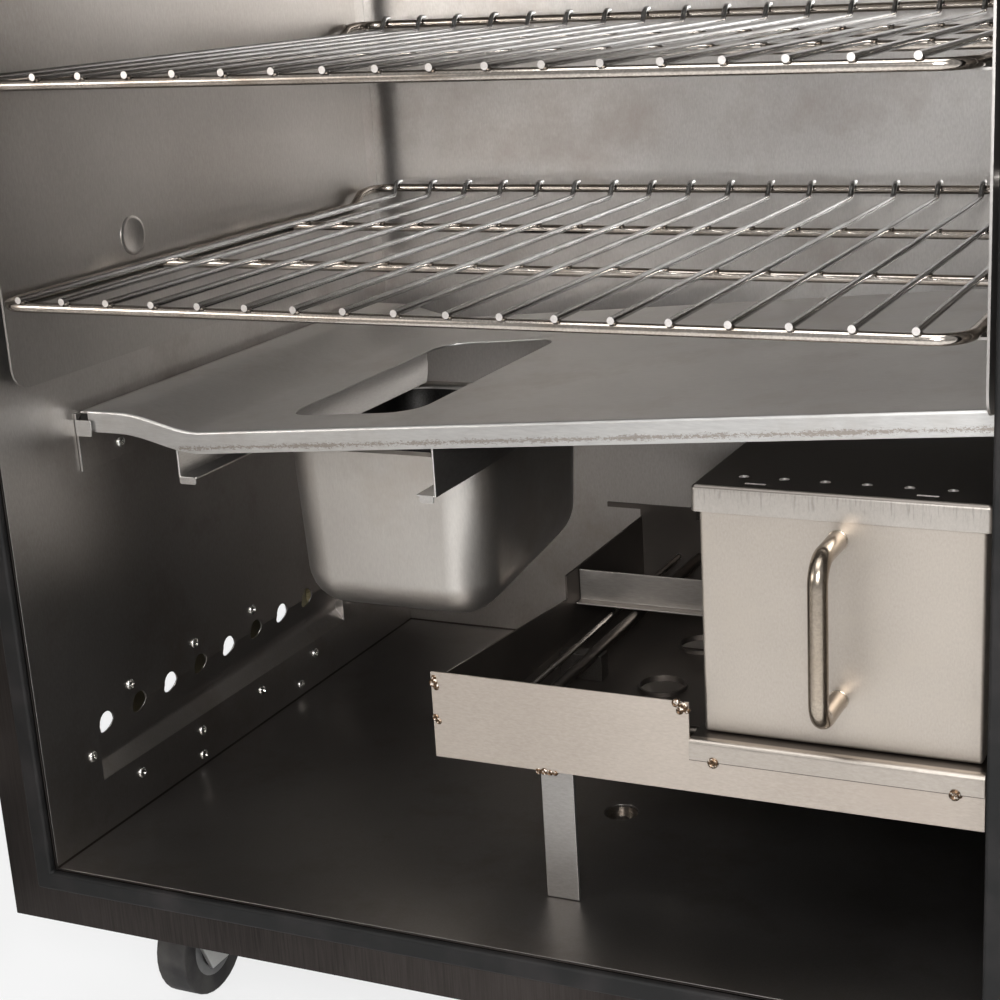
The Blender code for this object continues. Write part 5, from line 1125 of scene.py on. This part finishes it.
# Control box on top: a folded stainless casing screwed to the cabinet, with a sheet front that
# carries the thermostat's knob, a rocker switch and a signal lamp. The supply socket is behind.
CONTROL_MIDDLE = CAVITY_SIZE.x / 2
CONTROL_BASE = CAVITY_SIZE.z + WALL + 0.0003
CONTROL_Z = CONTROL_BASE + 0.029
CONTROL_FRONT = 0.020
dress("control_casing", "control_housing", BODY, CASING_STEEL, 0.0010)
PANEL_STEEL = steel("control_panel_steel", (0.46, 0.45, 0.44), (0.58, 0.57, 0.56), 0.34, (0.02, 1, 1))
dress("control_front", "control_panel", BODY, PANEL_STEEL, 0.0003, 2)
BLACK_MOULDING = rubber("black_moulding", (0.014, 0.014, 0.015), (0.045, 0.044, 0.043), 0.42, 0.12)
dress("thermostat", "thermostat_body", BODY, BLACK_MOULDING, 0.0012)
dress("socket_body", "power_socket", BODY, BLACK_MOULDING, 0.0006)
dress("switch_frame", "switch_bezel", BODY, BLACK_MOULDING, 0.0008)
dress("rocker", "switch_rocker", "switch", BLACK_MOULDING, 0.0008)

# The socket's three flat pins.
PIN_BRASS = bright_wire(
    "pin_metal", (0.55, 0.50, 0.38), (0.80, 0.76, 0.62), 0.25, (0.60, 0.52, 0.40)
)
PIN_Y = CONTROL_FRONT + 0.1625
PIN_HALF = Vector((0.001, 0.006, 0.002))
pins = []
for dx, dz in ((-0.0065, -0.002), (0.0, 0.003), (0.0065, -0.002)):
    spot = at(CONTROL_MIDDLE + dx, PIN_Y, CONTROL_Z + dz)
    pin = block("socket_pin", -PIN_HALF, PIN_HALF, spot)
    soften(pin, 0.0005, 3)
    pins.append(pin)
settle(joined("socket_pins", pins), BODY, PIN_BRASS)

# Knob: a moulded cap with a fluted skirt and a raised grip bar with a white line.
KNOB_X = CONTROL_MIDDLE - 0.060
UPRIGHT = Matrix.Rotation(math.pi / 2, 4, "X")
knob = cylinder(96, 0.0188, 0.0158, (0, 0, 0.0079))
for vertex in knob.data.vertices:
    step = round(math.atan2(vertex.co.y, vertex.co.x) / (math.tau / 96))
    if step % 4 == 0:
        vertex.co.x *= 0.965
        vertex.co.y *= 0.965
soften(knob, 0.0008, 3, 50)
grip = block("grip", (-0.0024, -0.017, 0.0078), (0.0024, 0.017, 0.0206), Vector())
soften(grip, 0.0012, 3)
stem = turned("stem", 0.0029, 0.0025, ((0.0003, 0.0001),), 20)
stem.data.transform(Matrix.Translation((0, 0, -0.0025)))
knob = joined("thermostat_knob", [knob, grip, stem])
knob.data.transform(Matrix.Translation(at(KNOB_X, CONTROL_FRONT - 0.0003, CONTROL_Z)) @ UPRIGHT)
settle(knob, "knob", BLACK_MOULDING, "control_knob")


def letters(name, text, x, z, size):
    """Printed characters on the front: thin flat text facing the user."""
    curve = bpy.data.curves.new(name, "FONT")
    curve.body, curve.size, curve.extrude = text, size, 0.00008
    curve.align_x = curve.align_y = "CENTER"
    made = meshed(name, curve)
    made.data.transform(Matrix.Translation(at(x, CONTROL_FRONT - 0.0001, z)) @ UPRIGHT)
    return made


def ink(name, tone):
    """Screen print: even ink with fine pinholes."""
    tones = ((0.3, tuple(c * 0.7 for c in tone)), (0.5, tone))
    return grained(name, 1500.0, 2.0, tones, 0.55, 0.2, 0.0, 0.0001)


WHITE_INK = ink("white_ink", (0.80, 0.79, 0.76))
BLACK_INK = ink("black_ink", (0.03, 0.03, 0.03))
knob_face = at(KNOB_X, CONTROL_FRONT, CONTROL_Z)
line = block("knob_pointer", (-0.0006, -0.0214, 0.0060), (0.0006, -0.0207, 0.0162), knob_face)
soften(line, 0.0002)
settle(line, "knob", WHITE_INK)
DIAL_RADIUS = 0.0245
marks = []
for i in range(10):
    angle = math.radians(90 - 30 * i)
    x, z = KNOB_X + DIAL_RADIUS * math.cos(angle), CONTROL_Z + DIAL_RADIUS * math.sin(angle)
    marks.append(letters("dial_mark", str(i), x, z, 0.0055))
settle(joined("dial_numbers", marks), BODY, BLACK_INK)
for name, word, rise in (("switch_marks", "ON", 0.0185), ("switch_off_mark", "OFF", -0.0185)):
    made = letters(name, word, CONTROL_MIDDLE + 0.035, CONTROL_Z + rise, 0.0050)
    settle(made, BODY, BLACK_INK)

# Signal lamp: a faceted red lens, a little darker in its depth, in a thin chromed ring.
LENS_TONES = ((0.3, (0.42, 0.015, 0.010)), (0.7, (0.68, 0.045, 0.020)))
RED_LENS = grained("red_lens", 180.0, 3.0, LENS_TONES, 0.15, 0.1, 0.1, 0.0003, Coat_Weight=0.5)
LAMP_X = CONTROL_MIDDLE + 0.085
dress("lamp_lens", "pilot_lamp", BODY, RED_LENS, 0.0008)
lamp_rings = ((0.0004, 0.0004), (0.0018, 0.0), (0.0002, -0.0004))
ring_pattern = turned("lamp_ring_pattern", 0.0085, 0.0008, lamp_rings, 40)
lamp_ring = copied(ring_pattern, "lamp_ring", at(LAMP_X, CONTROL_FRONT, CONTROL_Z), (0, -1, 0))
settle(lamp_ring, BODY, SCREW_STEEL)

# Smoke vent: a tube with a rolled rim, and a thin cap that swings aside on a pin.
VENT_TONES = (0.44, 0.42, 0.40), (0.64, 0.62, 0.60)
VENT_STEEL = steel("vent_steel", *VENT_TONES, 0.30, (1, 1, 0.1), (0.24, 0.18, 0.13))
dress("vent_pipe", "vent_tube", BODY, VENT_STEEL, 0.0006)
dress("vent_lid", "vent_cap", "vent_cap", VENT_STEEL, 0.0006)


# Door: a folded outer pan filled with mineral wool and closed by an inner sheet, whose middle
# is raised to meet the seal. It stands open on two butt hinges at the cabinet's left.
DOOR_STEEL = steel("brushed_door", (0.52, 0.51, 0.50), (0.66, 0.65, 0.64), 0.28, (1, 1, 0.015))
DOOR_LINING = steel(
    "door_lining", (0.38, 0.36, 0.34), (0.58, 0.56, 0.54), 0.34, (1, 1, 0.25), (0.35, 0.31, 0.27), 0.06
)
dress("door_skin", "door_outer_skin", "door", DOOR_STEEL, 0.0015, 4)
dress("door_lining_sheet", "door_inner_skin", "door", DOOR_LINING, 0.0020, 4, 30)
refill("door_insulation", wool("door_wool"))

HINGE_STEEL = steel("hinge_steel", (0.46, 0.45, 0.44), (0.66, 0.65, 0.64), 0.26, (1, 1, 0.3))
for word in ("upper", "lower"):
    dress("hinge_leaf_cabinet_" + word, "hinge_frame_" + word, BODY, HINGE_STEEL, 0.0006)
    dress("hinge_leaf_door_" + word, "hinge_door_" + word, "door", HINGE_STEEL, 0.0006)

# Latch: a cast case on the door with a polished lever, and a welded keeper on the cabinet.
LATCH_CASTING = steel("latch_casting", (0.40, 0.39, 0.38), (0.58, 0.57, 0.56), 0.32)
LEVER_TONES = (0.40, 0.39, 0.38), (0.74, 0.73, 0.72)
LEVER_STEEL = bright_wire("lever_steel", *LEVER_TONES, 0.16, (0.60, 0.57, 0.54))
dress("latch_body", "latch_case", "door", LATCH_CASTING, 0.0012)
dress("latch_arm", "latch_lever", "latch", LEVER_STEEL, 0.0015, 4)
dress("latch_catch", "latch_keeper", BODY, LATCH_CASTING, 0.0010)

# Casters: a pressed plate bolted under each corner, a swivelling fork, and a hard rubber wheel
# on a moulded hub.
CASTER_STEEL = steel("caster_zinc", (0.46, 0.46, 0.45), (0.64, 0.64, 0.62), 0.36)
TREAD = rubber("wheel_rubber", (0.020, 0.019, 0.019), (0.070, 0.066, 0.062), 0.62, 0.4)
HUB = rubber("wheel_hub", (0.10, 0.10, 0.10), (0.17, 0.17, 0.165), 0.45, 0.15)
bolt = turned("bolt_pattern", 0.0050, 0.0030, ((0.0006, 0.0006), (0.0012, 0.0002)), 6)
hub_rings = ((0.0010, 0.0006), (0.0060, 0.0), (0.0008, -0.0010), (0.0070, 0.0), (0.0010, 0.0012))
hub = turned("hub_pattern", 0.0240, 0.0006, hub_rings, 32)
for spot in ("front_left", "front_right", "rear_left", "rear_right"):
    plate, fork, wheel = ("caster_" + kind + "_" + spot for kind in ("plate", "fork", "wheel"))
    dress("caster_top_" + spot, plate, BODY, CASTER_STEEL, 0.0006)
    dress("caster_yoke_" + spot, fork, fork, CASTER_STEEL, 0.0007)
    dress("caster_tyre_" + spot, wheel, wheel, TREAD, 0.0035, 5, 50)
    low, high = (Vector(c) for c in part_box(wheel))
    hubs = []
    for side, x in ((-1, low.x + 0.0008), (1, high.x - 0.0008)):
        place = Vector((x, (low.y + high.y) / 2, (low.z + high.z) / 2))
        hubs.append(copied(hub, "hub", place, (side, 0, 0)))
    settle(joined("caster_hub_" + spot, hubs), wheel, HUB)
    low, high = (Vector(c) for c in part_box(plate))
    bolts = []
    for x in (low.x + 0.010, high.x - 0.010):
        for y in (low.y + 0.010, high.y - 0.010):
            bolts.append(copied(bolt, "bolt", Vector((x, y, low.z + 0.0003)), (0, 0, -1)))
    settle(joined("caster_bolts_" + spot, bolts), BODY, SCREW_STEEL)


for pattern in (rivet, screw, boss, bead, shoulder, ring_pattern, bolt, hub):
    bpy.data.objects.remove(pattern)
